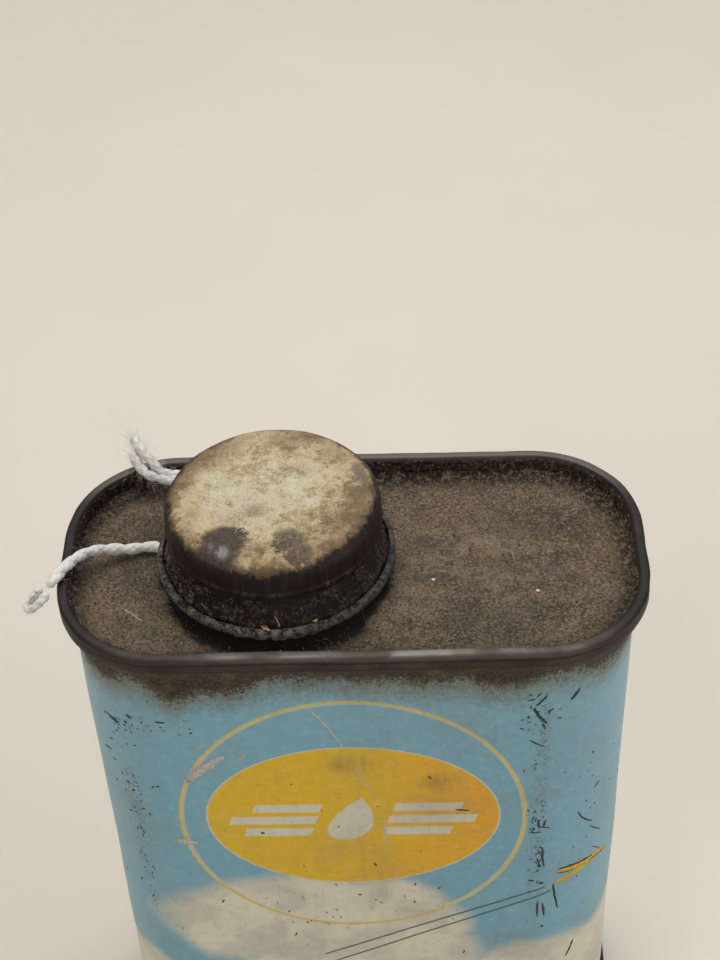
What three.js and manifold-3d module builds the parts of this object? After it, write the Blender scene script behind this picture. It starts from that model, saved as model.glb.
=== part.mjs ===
// A small oblong tin with a screw cap on a threaded neck, and a cotton string tied round the neck.
//
// Sizes are in millimetres. +X runs along the can's long side, +Y points to its back and +Z is up.
// The origin is the middle of the can, on the surface that it stands on.
import * as THREE from 'three';
import { mergeVertices } from 'three/addons/utils/BufferGeometryUtils.js';
import Module from 'manifold-3d';

const wasm = await Module();
wasm.setup();

// ---- Driving dimensions ----

// The can, measured over its two end seams.
const canLength = 98.4;
const canDepth = 49.2;
const canHeight = 127;
const cornerRadius = 18.7;

// Tinplate, and the film of gasket compound between the folded layers of an end seam.
const sheet = 0.24;
const layerGap = 0.06;
const gasketHeight = 0.35;

// The double seam, the panel sunk inside it, and the wall's flare out to the seam.
const seamHeight = 3.3;
const countersink = 3.6;
const seamBend = 0.4;
const panelBend = 0.6;
const flare = 1.3;
const flareHeight = 3.2;
const flareBend = 2;
const hookClearance = 0.26;

// The flat border of each end, and how far the plate that fills its middle laps over it.
const panelLand = 3;
const plateLap = 0.8;

// The bottom end's stiffening step.
const stepInset = 6;
const stepHeight = 0.6;

// The soldered lap where the two edges of the wall meet, on the right-hand narrow side.
const lapWidth = 4;
const lapGap = 0.16;
const lapStep = 0.8;
const lapEndGap = 0.4;
const lapJoin = 1.5;
const lapShort = 3;
const lapCentre = 0;

// The threaded neck.
const neckX = -12.8;
const neckRadius = 15.8;
const neckHeight = 13.8;
const neckBead = 0.62;
const neckClinch = 1.4;
const neckHoleClearance = 0.1;

// The neck's lip is rolled inwards, so that the cap's thread can pass it.
const neckLip = 0.36;

// The solder fillet round the neck's foot: its width, its height, and the waist between them.
const filletWidth = 0.85;
const filletHeight = 0.42;
const filletWaistWidth = 0.3;
const filletWaistHeight = 0.2;

// The screw thread, as a rolled ridge on the neck and one inside the cap.
// It rises to its full height over threadRunOut, a share of a turn, at each end.
const threadPitch = 3.175;
const threadTurns = 1.25;
const threadHeight = 0.7;
const threadRoot = 1.5;
const threadCrest = 0.7;
const threadRunOut = 1 / 6;
const threadAboveHem = 3.1;
const threadEngagement = 0.3;
const threadClearance = 0.37;

// The cap: a domed top, a straight drum, a groove that holds the liner, a skirt and a rolled hem.
const capSheet = 0.28;
const capHeight = 13.6;
const capDome = 0.25;
const capShoulder = 2.4;
const drumHeight = 6;
const grooveDepth = 0.6;
const grooveWidth = 1.2;
const skirtFlare = 0.95;
const hemRadius = 1;
const hemOverhang = 2.25;

// The cap's liner.
const boardThickness = 1.1;
const foilThickness = 0.15;
const linerClearance = 0.25;
const linerRoom = 0.85;

// The gap left between pieces that touch.
const contact = 0.05;

// The string: two yarns laid together, which part at both ends.
const stringDiameter = 1.9;
const yarnDiameter = 1;
const stringAboveBead = 0.77;
const stringFromNeck = 1.3;

// Facets.
const cornerSteps = 5;
const bendSteps = 2;
const roundSteps = 32;
const turnSteps = 20;
const lipSteps = 5;
const hemSteps = 6;
const curlStep = Math.PI / 4;
const stringSpacing = 2.3 * stringDiameter;
const backEndSpacing = 2 * yarnDiameter;

// ---- Sizes that follow ----

// How far a seam's layer lies inside the seam's outer face, to the middle of its sheet:
// 0 the end's outer wall, 1 the body's hook, 2 the end's hook, 3 the body's wall, 4 the end's inner wall.
const layer = (index) => -((index + 0.5) * sheet + index * layerGap);
const wallMiddle = layer(3) - flare;
const wallFace = canLength / 2 + wallMiddle + sheet / 2;
const panelTop = canHeight - countersink;

// The lap's edges: the outer edge ends at lapOuterEnd, and the inner one steps in at lapInnerStart.
const lapOuterEnd = lapCentre + lapWidth / 4;
const lapInnerStart = lapOuterEnd + lapEndGap + lapStep;
const lapInnerEnd = lapOuterEnd - lapWidth;
const lapFoot = seamHeight + flareHeight + flareBend + lapShort;
const lapLength = canHeight - 2 * lapFoot;

// The neck and the cap, from the panel up.
const beadHeight = 2 * (sheet + contact);
const neckTop = panelTop + neckHeight;
const foilBottom = neckTop + contact;
const boardBottom = foilBottom + foilThickness + contact;
const capTop = boardBottom + boardThickness + linerRoom + capSheet;
const hemBottom = capTop - capHeight;
const capRadius = neckRadius + threadHeight + threadClearance + grooveDepth + capSheet;
const drumMiddle = capRadius - capSheet / 2;
const grooveBottom = capTop - drumHeight - grooveWidth;
const linerRadius = capRadius - capSheet - grooveDepth - linerClearance;
const skirtTop = grooveBottom - grooveWidth / 2;
const skirtFoot = hemBottom + hemRadius;
const skirtTopRadius = drumMiddle - grooveDepth / 2;
const skirtFootRadius = skirtTopRadius + skirtFlare;
const threadStart = hemBottom + threadAboveHem;
const stringHeight = panelTop + beadHeight + stringAboveBead;
const stringRadius = neckRadius + stringFromNeck;

// ---- Shape helpers ----

// A sheet's middle line through corner points [across, up, bend radius], with each bend as an arc.
function bentLine(corners) {
  const line = [];
  corners.forEach(([x, y, radius], index) => {
    const here = new THREE.Vector2(x, y);
    if (!radius) {
      line.push(here);
      return;
    }
    const before = new THREE.Vector2(...corners[index - 1]).sub(here).normalize();
    const after = new THREE.Vector2(...corners[index + 1]).sub(here).normalize();
    const half = Math.acos(before.dot(after)) / 2;
    const centre = before.clone().add(after).setLength(radius / Math.sin(half)).add(here);
    const start = before.multiplyScalar(radius / Math.tan(half)).add(here).sub(centre);
    const end = after.multiplyScalar(radius / Math.tan(half)).add(here).sub(centre);
    const turn = Math.atan2(start.cross(end), start.dot(end));
    for (let step = 0; step <= bendSteps; step += 1) {
      const spoke = start.clone().rotateAround(new THREE.Vector2(), (turn * step) / bendSteps);
      line.push(spoke.add(centre));
    }
  });
  return line;
}

// The line without repeated points, and without points along its straight stretches.
function bareLine(points) {
  const apart = points.filter((point, index) => !index || point.distanceTo(points[index - 1]) > 1e-6);
  return apart.filter((point, index) => {
    if (index === 0 || index === apart.length - 1) {
      return true;
    }
    const into = point.clone().sub(apart[index - 1]).normalize();
    const out = apart[index + 1].clone().sub(point).normalize();
    return Math.abs(into.cross(out)) > 1e-6;
  });
}

// The closed outline of a sheet of even thickness about its middle line.
function sheetOutline(points, thickness) {
  const line = bareLine(points);
  const sides = [[], []];
  line.forEach((point, index) => {
    const back = line[index - 1] ?? point;
    const next = line[index + 1] ?? point;
    const into = point.clone().sub(back).normalize();
    const out = next.clone().sub(point).normalize();
    const one = index ? new THREE.Vector2(-into.y, into.x) : new THREE.Vector2(-out.y, out.x);
    const two = index < line.length - 1 ? new THREE.Vector2(-out.y, out.x) : one;
    const mitre = one.clone().add(two).multiplyScalar(thickness / 2 / (1 + one.dot(two)));
    sides[0].push(point.clone().add(mitre));
    sides[1].push(point.clone().sub(mitre));
  });
  return [...sides[0], ...sides[1].reverse()];
}

// Turns the faces of a closed, indexed geometry outwards.
function facingOut(geometry) {
  const index = geometry.index.array;
  const corner = (i) => new THREE.Vector3().fromBufferAttribute(geometry.attributes.position, index[i]);
  let volume = 0;
  for (let i = 0; i < index.length; i += 3) {
    volume += corner(i).dot(corner(i + 1).cross(corner(i + 2)));
  }
  if (volume < 0) {
    index.reverse();
  }
  return geometry;
}

// A skin over rings of points that all follow one outline. The last ring joins the first,
// or both are capped with the outline's own face.
function ringGeometry(rings, outline, closed) {
  const count = outline.length;
  const faces = [];
  const last = closed ? rings.length : rings.length - 1;
  for (let ring = 0; ring < last; ring += 1) {
    const here = ring * count;
    const there = ((ring + 1) % rings.length) * count;
    for (let k = 0; k < count; k += 1) {
      const next = (k + 1) % count;
      faces.push([here + k, there + k, there + next], [here + k, there + next, here + next]);
    }
  }
  if (!closed) {
    const end = (rings.length - 1) * count;
    const turn = Math.sign(THREE.ShapeUtils.area(outline));
    for (const [a, b, c] of THREE.ShapeUtils.triangulateShape(outline, [])) {
      const corners = [outline[a], outline[b], outline[c]];
      const [p, q, r] = Math.sign(THREE.ShapeUtils.area(corners)) === turn ? [a, b, c] : [a, c, b];
      faces.push([p, q, r], [end + p, end + r, end + q]);
    }
  }
  const geometry = new THREE.BufferGeometry();
  geometry.setAttribute('position', new THREE.Float32BufferAttribute(rings.flat(2), 3));
  geometry.setIndex(faces.flat());
  return facingOut(geometry);
}

// Stations round the can, each a corner centre and a direction out from it.
function cornerStations() {
  const stations = [];
  const farX = canLength / 2 - cornerRadius;
  const farY = canDepth / 2 - cornerRadius;
  const signs = [[1, 1], [-1, 1], [-1, -1], [1, -1]];
  signs.forEach(([signX, signY], quarter) => {
    for (let step = 0; step <= cornerSteps; step += 1) {
      const angle = (Math.PI / 2) * (quarter + step / cornerSteps);
      stations.push({ x: signX * farX, y: signY * farY, angle });
    }
  });
  return stations;
}

// The point at a station that lies a given distance outside the seam's outer face.
function stationPoint({ x, y, angle }, outside) {
  const reach = cornerRadius + outside;
  return [x + reach * Math.cos(angle), y + reach * Math.sin(angle)];
}

// Sweeps an outline of [outside, height] points past the stations.
function sweepRound(outline, stations, closed = true) {
  const rings = stations.map((station) =>
    outline.map(({ x, y }) => [...stationPoint(station, x), y]));
  return ringGeometry(rings, outline, closed);
}

// Turns an outline of [radius, height] points about the Z axis. One that starts off the axis is a loop.
function revolve(outline) {
  const profile = outline[0].x === 0 ? outline : [...outline, outline[0]];
  return facingOut(new THREE.LatheGeometry(profile, roundSteps).rotateX(Math.PI / 2));
}

// A plan outline extruded upwards from a height.
function raisedPlate(shape, bottom, height) {
  const geometry = new THREE.ExtrudeGeometry(shape, { depth: height, bevelEnabled: false });
  return geometry.translate(0, 0, bottom);
}

// The tube of a soft strand along a curve through chosen points.
function strand(points, diameter, spacing) {
  const curve = new THREE.CatmullRomCurve3(points.map((point) => new THREE.Vector3(...point)));
  const section = new THREE.Shape().absarc(0, 0, diameter / 2, 0, 2 * Math.PI);
  return new THREE.ExtrudeGeometry(section, {
    steps: Math.round(curve.getLength() / spacing),
    curveSegments: 4,
    extrudePath: curve,
  });
}

function toSolid(geometry) {
  const bare = geometry.clone();
  bare.deleteAttribute('normal');
  bare.deleteAttribute('uv');
  const merged = mergeVertices(bare);
  const corners = Array.from(merged.index.array);
  const kept = [];
  for (let i = 0; i < corners.length; i += 3) {
    const [a, b, c] = corners.slice(i, i + 3);
    if (a !== b && b !== c && c !== a) {
      kept.push(a, b, c);
    }
  }
  const vertProperties = merged.attributes.position.array;
  const mesh = new wasm.Mesh({ numProp: 3, vertProperties, triVerts: new Uint32Array(kept) });
  return new wasm.Manifold(mesh);
}

function toGeometry(solid) {
  const mesh = solid.getMesh();
  const geometry = new THREE.BufferGeometry();
  geometry.setAttribute('position', new THREE.BufferAttribute(mesh.vertProperties, 3));
  geometry.setIndex(new THREE.BufferAttribute(mesh.triVerts, 1));
  return geometry;
}

const joined = (...geometries) => toGeometry(
  geometries.map(toSolid).reduce((whole, piece) => whole.add(piece)));

const cutFrom = (whole, tool) => toGeometry(toSolid(whole).subtract(toSolid(tool)));

// ---- The wall ----

// The wall's middle line at one end, from the tip of its hook to the foot of its flare,
// as [outside, depth below the seam's edge].
function wallEndLine() {
  const hookTip = seamHeight - sheet - layerGap - hookClearance;
  const fold = 1.5 * sheet + gasketHeight;
  const foldRadius = (layer(1) - layer(3)) / 2;
  return bentLine([
    [layer(1), hookTip],
    [layer(1), fold, foldRadius],
    [layer(3), fold, foldRadius],
    [layer(3), seamHeight, flareBend / 2],
    [wallMiddle, seamHeight + flareHeight, flareBend],
    [wallMiddle, seamHeight + flareHeight + flareBend],
  ]);
}

// The wall's edge that steps in behind the other, clear of both flares.
function lapTongue() {
  const faceMiddle = wallFace - sheet / 2;
  const innerMiddle = faceMiddle - sheet - lapGap;
  const line = [
    new THREE.Vector2(faceMiddle, lapInnerStart + lapJoin),
    new THREE.Vector2(faceMiddle, lapInnerStart),
    new THREE.Vector2(innerMiddle, lapInnerStart - lapStep),
    new THREE.Vector2(innerMiddle, lapInnerEnd),
  ];
  const shape = new THREE.Shape(sheetOutline(line, sheet));
  return raisedPlate(shape, lapFoot, lapLength);
}

function bodyWrap() {
  const end = wallEndLine();
  const top = end.map(({ x, y }) => new THREE.Vector2(x, canHeight - y));
  const line = [...top, ...end.reverse()];
  const straightX = canLength / 2 - cornerRadius;
  const stations = [
    { x: straightX, y: lapInnerStart, angle: 0 },
    ...cornerStations(),
    { x: straightX, y: lapOuterEnd, angle: 0 },
  ];
  const wall = sweepRound(sheetOutline(line, sheet), stations, false);
  return joined(wall, lapTongue());
}

// Solder between the lap's two layers, and in the groove left outside them.
function sideSeamSolder() {
  const inner = wallFace - sheet - lapGap + contact / 2;
  const outer = wallFace - sheet - contact / 2;
  const slope = lapStep / (sheet + lapGap);
  const clearOfStep = contact * Math.hypot(1, slope);
  const edge = (x) => lapInnerStart - (wallFace - x) * slope - clearOfStep;
  const shape = new THREE.Shape([
    new THREE.Vector2(inner, lapInnerEnd + contact),
    new THREE.Vector2(outer, lapInnerEnd + contact),
    new THREE.Vector2(outer, lapOuterEnd + contact),
    new THREE.Vector2(wallFace - contact, lapOuterEnd + contact),
    new THREE.Vector2(wallFace - contact, edge(wallFace - contact)),
    new THREE.Vector2(inner, edge(inner)),
  ]);
  return raisedPlate(shape, lapFoot + contact, lapLength - 2 * contact);
}

// ---- The two ends ----

// An end's middle line from the panel, up the inner wall, over the seam and round into its hook,
// as [outside, depth below the seam's edge].
function endRimLine(panelLine) {
  const hookTip = 2 * sheet + gasketHeight + layerGap + hookClearance;
  const lowFold = seamHeight - sheet / 2;
  const foldRadius = (layer(0) - layer(2)) / 2;
  return bentLine([
    ...panelLine,
    [layer(4), countersink + sheet / 2, panelBend],
    [layer(4), sheet / 2, seamBend],
    [layer(0), sheet / 2, seamBend],
    [layer(0), lowFold, foldRadius],
    [layer(2), lowFold, foldRadius],
    [layer(2), hookTip],
  ]);
}

// A flat plate that fills an end's middle, out to a distance inside the seam's outer face.
function endPlate(outside, bottom) {
  const points = cornerStations().map((station) => new THREE.Vector2(...stationPoint(station, outside)));
  return raisedPlate(new THREE.Shape(points), bottom, sheet);
}

function topEnd() {
  const land = layer(4) - panelLand;
  const depth = countersink + sheet / 2;
  const line = endRimLine([[land, depth]]);
  const flipped = line.map(({ x, y }) => new THREE.Vector2(x, canHeight - y));
  const rim = sweepRound(sheetOutline(flipped, sheet), cornerStations());
  const plate = endPlate(land + plateLap, panelTop - sheet);
  const holeRadius = neckRadius + neckHoleClearance;
  const throughPlate = 4 * sheet;
  const hole = new THREE.CylinderGeometry(holeRadius, holeRadius, throughPlate, roundSteps);
  hole.rotateX(Math.PI / 2).translate(neckX, 0, panelTop - sheet / 2);
  return cutFrom(joined(rim, plate), hole);
}

function bottomEnd() {
  const depth = countersink + sheet / 2;
  const step = layer(4) - stepInset;
  const raised = depth + stepHeight;
  const line = endRimLine([
    [step - panelLand, raised],
    [step - stepHeight, raised],
    [step, depth],
  ]);
  const rim = sweepRound(sheetOutline(line, sheet), cornerStations());
  const plate = endPlate(step - panelLand + plateLap, raised - sheet / 2);
  return joined(rim, plate);
}

// The ring of sealing compound over the wall's fold, in the roof of a seam.
function seamCompound(atTop) {
  const roof = sheet + contact;
  const floor = sheet + gasketHeight - contact;
  const outer = layer(1) + sheet / 2 - contact;
  const inner = layer(3) - sheet / 2 + contact;
  const height = (depth) => (atTop ? canHeight - depth : depth);
  const bevel = seamBend / 4;
  const outline = [
    new THREE.Vector2(outer - bevel, height(roof)),
    new THREE.Vector2(outer, height(floor)),
    new THREE.Vector2(inner, height(floor)),
    new THREE.Vector2(inner + bevel, height(roof)),
  ];
  return sweepRound(outline, cornerStations());
}

// ---- The neck ----

// A ridge wound round an axis. Its foot follows rootAt(height), and its crest has its own radius.
function helicalRidge(rootAt, crestRadius, startHeight) {
  const steps = Math.round(threadTurns * turnSteps);
  const taper = threadRunOut * turnSteps;
  const rings = [];
  for (let step = 0; step <= steps; step += 1) {
    const angle = (2 * Math.PI * step) / turnSteps;
    const height = startHeight + (threadPitch * step) / turnSteps;
    const grown = Math.min(1, (Math.min(step, steps - step) + 1) / taper);
    const section = [
      [0, -threadRoot / 2],
      [1, -threadCrest / 2],
      [1, threadCrest / 2],
      [0, threadRoot / 2],
    ];
    rings.push(section.map(([out, up]) => {
      const root = rootAt(height + up);
      const radius = out ? root + (crestRadius - root) * grown : root;
      return [radius * Math.cos(angle), radius * Math.sin(angle), height + up];
    }));
  }
  const outline = [[0, 0], [1, 0], [1, 1], [0, 1]].map(([x, y]) => new THREE.Vector2(x, y));
  return ringGeometry(rings, outline, false);
}

function neck() {
  const middle = neckRadius - sheet / 2;
  const clinchHeight = panelTop - sheet - contact - sheet / 2;
  const beadFoot = panelTop + contact + sheet / 2;
  const beadTop = beadFoot + beadHeight / 2;
  const lipCentre = neckTop - sheet / 2 - neckLip;
  const line = bentLine([
    [middle + neckClinch, clinchHeight],
    [middle, clinchHeight, sheet],
    [middle, beadFoot],
    [middle + neckBead, beadFoot],
    [middle + neckBead, beadTop],
    [middle, beadTop],
    [middle, lipCentre],
  ]);
  for (let step = 1; step <= lipSteps; step += 1) {
    const angle = step * curlStep;
    line.push(new THREE.Vector2(
      middle - neckLip + neckLip * Math.cos(angle), lipCentre + neckLip * Math.sin(angle)));
  }
  const wall = revolve(sheetOutline(line, sheet));
  const ridge = helicalRidge(() => middle, neckRadius + threadHeight, threadStart + threadPitch / 2);
  return joined(wall, ridge);
}

// Solder in the corner between the neck's bead and the top panel.
function neckSolder() {
  const inner = neckRadius + neckBead + contact;
  return revolve([
    new THREE.Vector2(inner, panelTop + contact),
    new THREE.Vector2(inner + filletWidth, panelTop + contact),
    new THREE.Vector2(inner + filletWaistWidth, panelTop + filletWaistHeight),
    new THREE.Vector2(inner, panelTop + filletHeight),
  ]);
}

// ---- The cap ----

// The radius of the skirt's middle line at a height.
function skirtRadius(height) {
  const share = THREE.MathUtils.clamp((skirtTop - height) / (skirtTop - skirtFoot), 0, 1);
  return skirtTopRadius + share * skirtFlare;
}

function capShell() {
  const roof = capTop - capSheet / 2;
  const grooveMiddle = grooveBottom + grooveWidth / 2;
  const line = bentLine([
    [0, roof + capDome],
    [drumMiddle, roof, capShoulder],
    [drumMiddle, capTop - drumHeight],
    [drumMiddle - grooveDepth, grooveMiddle],
    [skirtTopRadius, skirtTop],
    [skirtFootRadius, skirtFoot],
  ]);
  const curlRadius = hemRadius - capSheet / 2;
  const curlCentre = capRadius + hemOverhang - hemRadius;
  for (let step = 1; step <= hemSteps; step += 1) {
    const angle = Math.PI + step * curlStep;
    line.push(new THREE.Vector2(
      curlCentre + curlRadius * Math.cos(angle), skirtFoot + curlRadius * Math.sin(angle)));
  }
  const outline = sheetOutline(line, capSheet);
  outline[0].x = 0;
  outline[outline.length - 1].x = 0;
  const ridge = helicalRidge(skirtRadius, neckRadius + threadHeight - threadEngagement, threadStart);
  return joined(revolve(outline), ridge);
}

const linerDisc = (bottom, thickness) =>
  new THREE.CylinderGeometry(linerRadius, linerRadius, thickness, roundSteps)
    .rotateX(Math.PI / 2)
    .translate(0, 0, bottom + thickness / 2);

// ---- The string ----

// From behind the neck, right round its far side to the left, then out over the left rim.
function stringRoute() {
  const route = [
    [-33.2, 18.9, canHeight + 0.1],
    [-28.5, 18.5, canHeight - 0.9],
    [-23.5, 18.1, canHeight - 2.1],
    [-18, 17.5, stringHeight],
  ];
  for (let angle = 85; angle >= -165; angle -= 15) {
    const turn = THREE.MathUtils.degToRad(angle);
    route.push([neckX + stringRadius * Math.cos(turn), stringRadius * Math.sin(turn), stringHeight]);
  }
  route.push(
    [-30.1, -0.2, stringHeight],
    [-31.4, 2.7, stringHeight],
    [-34.2, 3.9, stringHeight],
    [-37.8, 3.1, canHeight - 1.9],
    [-41.4, 2.2, canHeight - 1.1],
    [-44.8, 0.1, canHeight + 0.3],
    [-47.2, -3.2, canHeight + 1.15],
    [-48.9, -6.2, canHeight + 1.2],
    [-50.3, -8.2, canHeight + 0.6],
  );
  return route;
}

const endLoopRoute = [
  [-50.15, -9.05, canHeight + 0.2],
  [-51.4, -10.2, canHeight - 0.8],
  [-52.9, -10.7, canHeight - 1.9],
  [-53.9, -9.9, canHeight - 2.6],
  [-53.6, -8.6, canHeight - 2.3],
  [-52.4, -8, canHeight - 1.1],
  [-51.45, -7.75, canHeight - 0.1],
];

const backEndRoutes = [
  [
    [-33.9, 18.4, canHeight + 0.3],
    [-36.2, 19, canHeight + 0.9],
    [-38, 21.1, canHeight + 1.3],
    [-39.2, 23.6, canHeight + 2.3],
  ],
  [
    [-33.7, 19.8, canHeight + 0.6],
    [-35.8, 21.4, canHeight + 2],
    [-37.7, 23.5, canHeight + 3.1],
    [-39.2, 25.8, canHeight + 4],
  ],
];

// ---- The assembly ----

function piece(name, geometry, color, roughness, metalness, x = 0) {
  const material = new THREE.MeshStandardMaterial({ color, roughness, metalness });
  const mesh = new THREE.Mesh(geometry, material);
  mesh.name = name;
  mesh.position.x = x;
  return mesh;
}

const can = new THREE.Group();
can.add(
  piece('body_wrap', bodyWrap(), 0x77969e, 0.45, 0.3),
  piece('side_seam_solder', sideSeamSolder(), 0x8a8a84, 0.5, 0.8),
  piece('top_end', topEnd(), 0x54483a, 0.7, 0.5),
  piece('bottom_end', bottomEnd(), 0x5c5248, 0.6, 0.6),
  piece('top_seam_compound', seamCompound(true), 0x6b4a2e, 0.8, 0),
  piece('bottom_seam_compound', seamCompound(false), 0x6b4a2e, 0.8, 0),
  piece('neck', neck(), 0x8d8a80, 0.4, 0.8, neckX),
  piece('neck_solder', neckSolder(), 0x7d7d78, 0.5, 0.8, neckX),
);

const cap = new THREE.Group();
cap.position.x = neckX;
cap.add(
  piece('cap_shell', capShell(), 0xb6a281, 0.6, 0.1),
  piece('cap_liner_board', linerDisc(boardBottom, boardThickness), 0xb59c72, 0.9, 0),
  piece('cap_liner_foil', linerDisc(foilBottom, foilThickness), 0xc9ccce, 0.3, 1),
);

const string = new THREE.Group();
string.add(
  piece('string', strand(stringRoute(), stringDiameter, stringSpacing), 0xd8d5c9, 1, 0),
  piece('string_end_loop', strand(endLoopRoute, yarnDiameter, yarnDiameter), 0xd8d5c9, 1, 0),
  ...backEndRoutes.map((route, index) => piece(
    `string_back_end_${index + 1}`, strand(route, yarnDiameter, backEndSpacing), 0xd8d5c9, 1, 0)),
);

const part = new THREE.Group();
part.add(can, cap, string);

export default part;
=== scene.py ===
"""A small oblong screw-cap tin, printed sky blue, with rust, grime and a cotton string round its neck.

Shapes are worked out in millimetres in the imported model's frame and become metres in add_piece().
+X is the can's long side, +Y its back, +Z up.
"""

import math

import bmesh
import bpy
import numpy as np
from mathutils import Matrix, Vector


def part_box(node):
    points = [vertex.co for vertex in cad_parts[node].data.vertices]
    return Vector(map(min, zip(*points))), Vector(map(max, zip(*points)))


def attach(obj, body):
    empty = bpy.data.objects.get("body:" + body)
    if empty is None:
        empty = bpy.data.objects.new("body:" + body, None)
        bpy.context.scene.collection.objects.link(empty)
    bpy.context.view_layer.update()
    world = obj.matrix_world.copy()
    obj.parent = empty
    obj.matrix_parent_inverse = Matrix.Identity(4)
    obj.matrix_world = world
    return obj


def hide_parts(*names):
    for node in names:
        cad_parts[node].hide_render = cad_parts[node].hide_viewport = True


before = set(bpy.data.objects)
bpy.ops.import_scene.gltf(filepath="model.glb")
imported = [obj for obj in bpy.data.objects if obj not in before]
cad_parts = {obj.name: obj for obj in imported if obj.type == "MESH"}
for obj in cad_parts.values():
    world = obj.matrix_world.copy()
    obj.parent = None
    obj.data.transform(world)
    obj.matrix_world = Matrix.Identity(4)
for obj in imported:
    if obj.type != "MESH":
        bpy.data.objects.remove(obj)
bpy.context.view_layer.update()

MM = 0.001
rng = np.random.default_rng(41)


def node_box(node):
    """The lowest and highest corner of a CAD node, in millimetres."""
    low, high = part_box(node)
    return np.array(low) / MM, np.array(high) / MM


# ---- Sizes read from the frame ----
HALF_X, HALF_Y, TOP = node_box("top_end")[1]
CAP_LOW, CAP_HIGH = node_box("cap_shell")
NECK_X = (CAP_LOW[0] + CAP_HIGH[0]) / 2
HEM_REACH = (CAP_HIGH[0] - CAP_LOW[0]) / 2
CAP_TOP = CAP_HIGH[2]
HEM_BOTTOM = CAP_LOW[2]
NECK_TOP = node_box("neck")[1][2]
BOARD_LOW, BOARD_HIGH = node_box("cap_liner_board")
FOIL_LOW, FOIL_HIGH = node_box("cap_liner_foil")
LINER_RADIUS = (BOARD_HIGH[0] - BOARD_LOW[0]) / 2

# ---- Sizes shared with the CAD source ----
CORNER_RADIUS = 18.7
SHEET = 0.24
LAYER_GAP = 0.06
GASKET = 0.35
SEAM_HEIGHT = 3.3
COUNTERSINK = 3.6
FLARE = 1.3
FLARE_HEIGHT = 3.2
NECK_RADIUS = 15.8
THREAD_PITCH = 3.175
THREAD_TURNS = 1.25
THREAD_HEIGHT = 0.7
THREAD_START = HEM_BOTTOM + 3.1
BEAD_REACH = 0.62
BEAD_HEIGHT = 0.29
CAP_SHEET = 0.28
CAP_RADIUS = 17.75
CAP_CROWN = 13.6
DRUM_HEIGHT = 6.0
GROOVE_DEPTH = 0.6
GROOVE_WIDTH = 1.2
SKIRT_FLARE = 0.95
HEM_RADIUS = 1.0
EDGE_RISE = 0.25
LAP_OUTER_END = 1.0
LAP_INNER_START = 2.2
LAP_INNER_END = -3.0
LAP_GAP = 0.16
LAP_STEP = 0.8
LAP_JOIN = 1.2
HOOK_CLEARANCE = 0.26
STRING_DIAMETER = 1.9
STRING_HEIGHT = 124.75
STRING_RADIUS = 17.1

PANEL_TOP = TOP - COUNTERSINK
CAP_FLAT = CAP_TOP - EDGE_RISE
SKIRT_TOP = CAP_FLAT - DRUM_HEIGHT - 1.5 * GROOVE_WIDTH


def layer(index):
    """How far the middle of a seam's layer lies outside the seam's outer face. It is negative."""
    return -((index + 0.5) * SHEET + index * LAYER_GAP)


WALL = layer(3) - FLARE
# The end's inner wall stands further in than the CAD's, under its paint and rust.
RUST_BUILD_UP = 0.6
CHUCK = layer(4) - RUST_BUILD_UP


# ---- The camera ----
CAMERA_AZIMUTH = 2.02
CAMERA_ELEVATION = 41.86
CAMERA_ROLL = -2.54
CAMERA_BACK = 300.3
CAMERA_RIGHT = 1.74
CAMERA_UP = 11.54
CAMERA_LENS = 67.07


def add_camera():
    """The photograph's view: looking down at the rim from the front."""
    az, el, roll = (math.radians(a) for a in (CAMERA_AZIMUTH, CAMERA_ELEVATION, CAMERA_ROLL))
    back = Vector((math.sin(az) * math.cos(el), -math.cos(az) * math.cos(el), math.sin(el)))
    right = Vector((math.cos(az), math.sin(az), 0))
    up = back.cross(right)
    place = back * CAMERA_BACK + right * CAMERA_RIGHT + up * CAMERA_UP + Vector((0, 0, TOP))
    rolled_right = right * math.cos(roll) + up * math.sin(roll)
    rolled_up = back.cross(rolled_right)
    camera = bpy.data.objects.new("camera", bpy.data.cameras.new("camera"))
    camera.data.lens = CAMERA_LENS
    camera.data.sensor_width = 36
    camera.data.clip_start = 0.01
    turn = Matrix((rolled_right, rolled_up, back)).transposed().to_4x4()
    camera.matrix_world = Matrix.Translation(place * MM) @ turn
    bpy.context.scene.collection.objects.link(camera)
    bpy.context.scene.camera = camera


# ---- Shader helpers ----
class Num:
    """A number that varies over a surface, as a node's output, with ordinary arithmetic."""

    def __init__(self, shader, socket):
        self.shader, self.socket = shader, socket

    def math(self, operation, *others):
        node = self.shader.tree.nodes.new("ShaderNodeMath")
        node.operation = operation
        for socket, value in zip(node.inputs, (self, *others)):
            self.shader.feed(socket, value)
        return Num(self.shader, node.outputs[0])

    def __add__(self, other):
        return self.math("ADD", other)

    def __sub__(self, other):
        return self.math("SUBTRACT", other)

    def __mul__(self, other):
        return self.math("MULTIPLY", other)

    def __truediv__(self, other):
        return self.math("DIVIDE", other)

    __radd__ = __add__
    __rmul__ = __mul__

    def __rsub__(self, other):
        return self * -1.0 + other

    def __abs__(self):
        return self.math("ABSOLUTE")

    def power(self, exponent):
        return self.math("POWER", exponent)

    def least(self, other):
        return self.math("MINIMUM", other)

    def most(self, other):
        return self.math("MAXIMUM", other)

    def soft(self, low, high):
        """0 at low and 1 at high, with a smooth step between. low may be the larger."""
        node = self.shader.tree.nodes.new("ShaderNodeMapRange")
        node.interpolation_type = "SMOOTHSTEP"
        for socket, value in zip(node.inputs, (self, low, high)):
            self.shader.feed(socket, value)
        return Num(self.shader, node.outputs[0])


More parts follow.
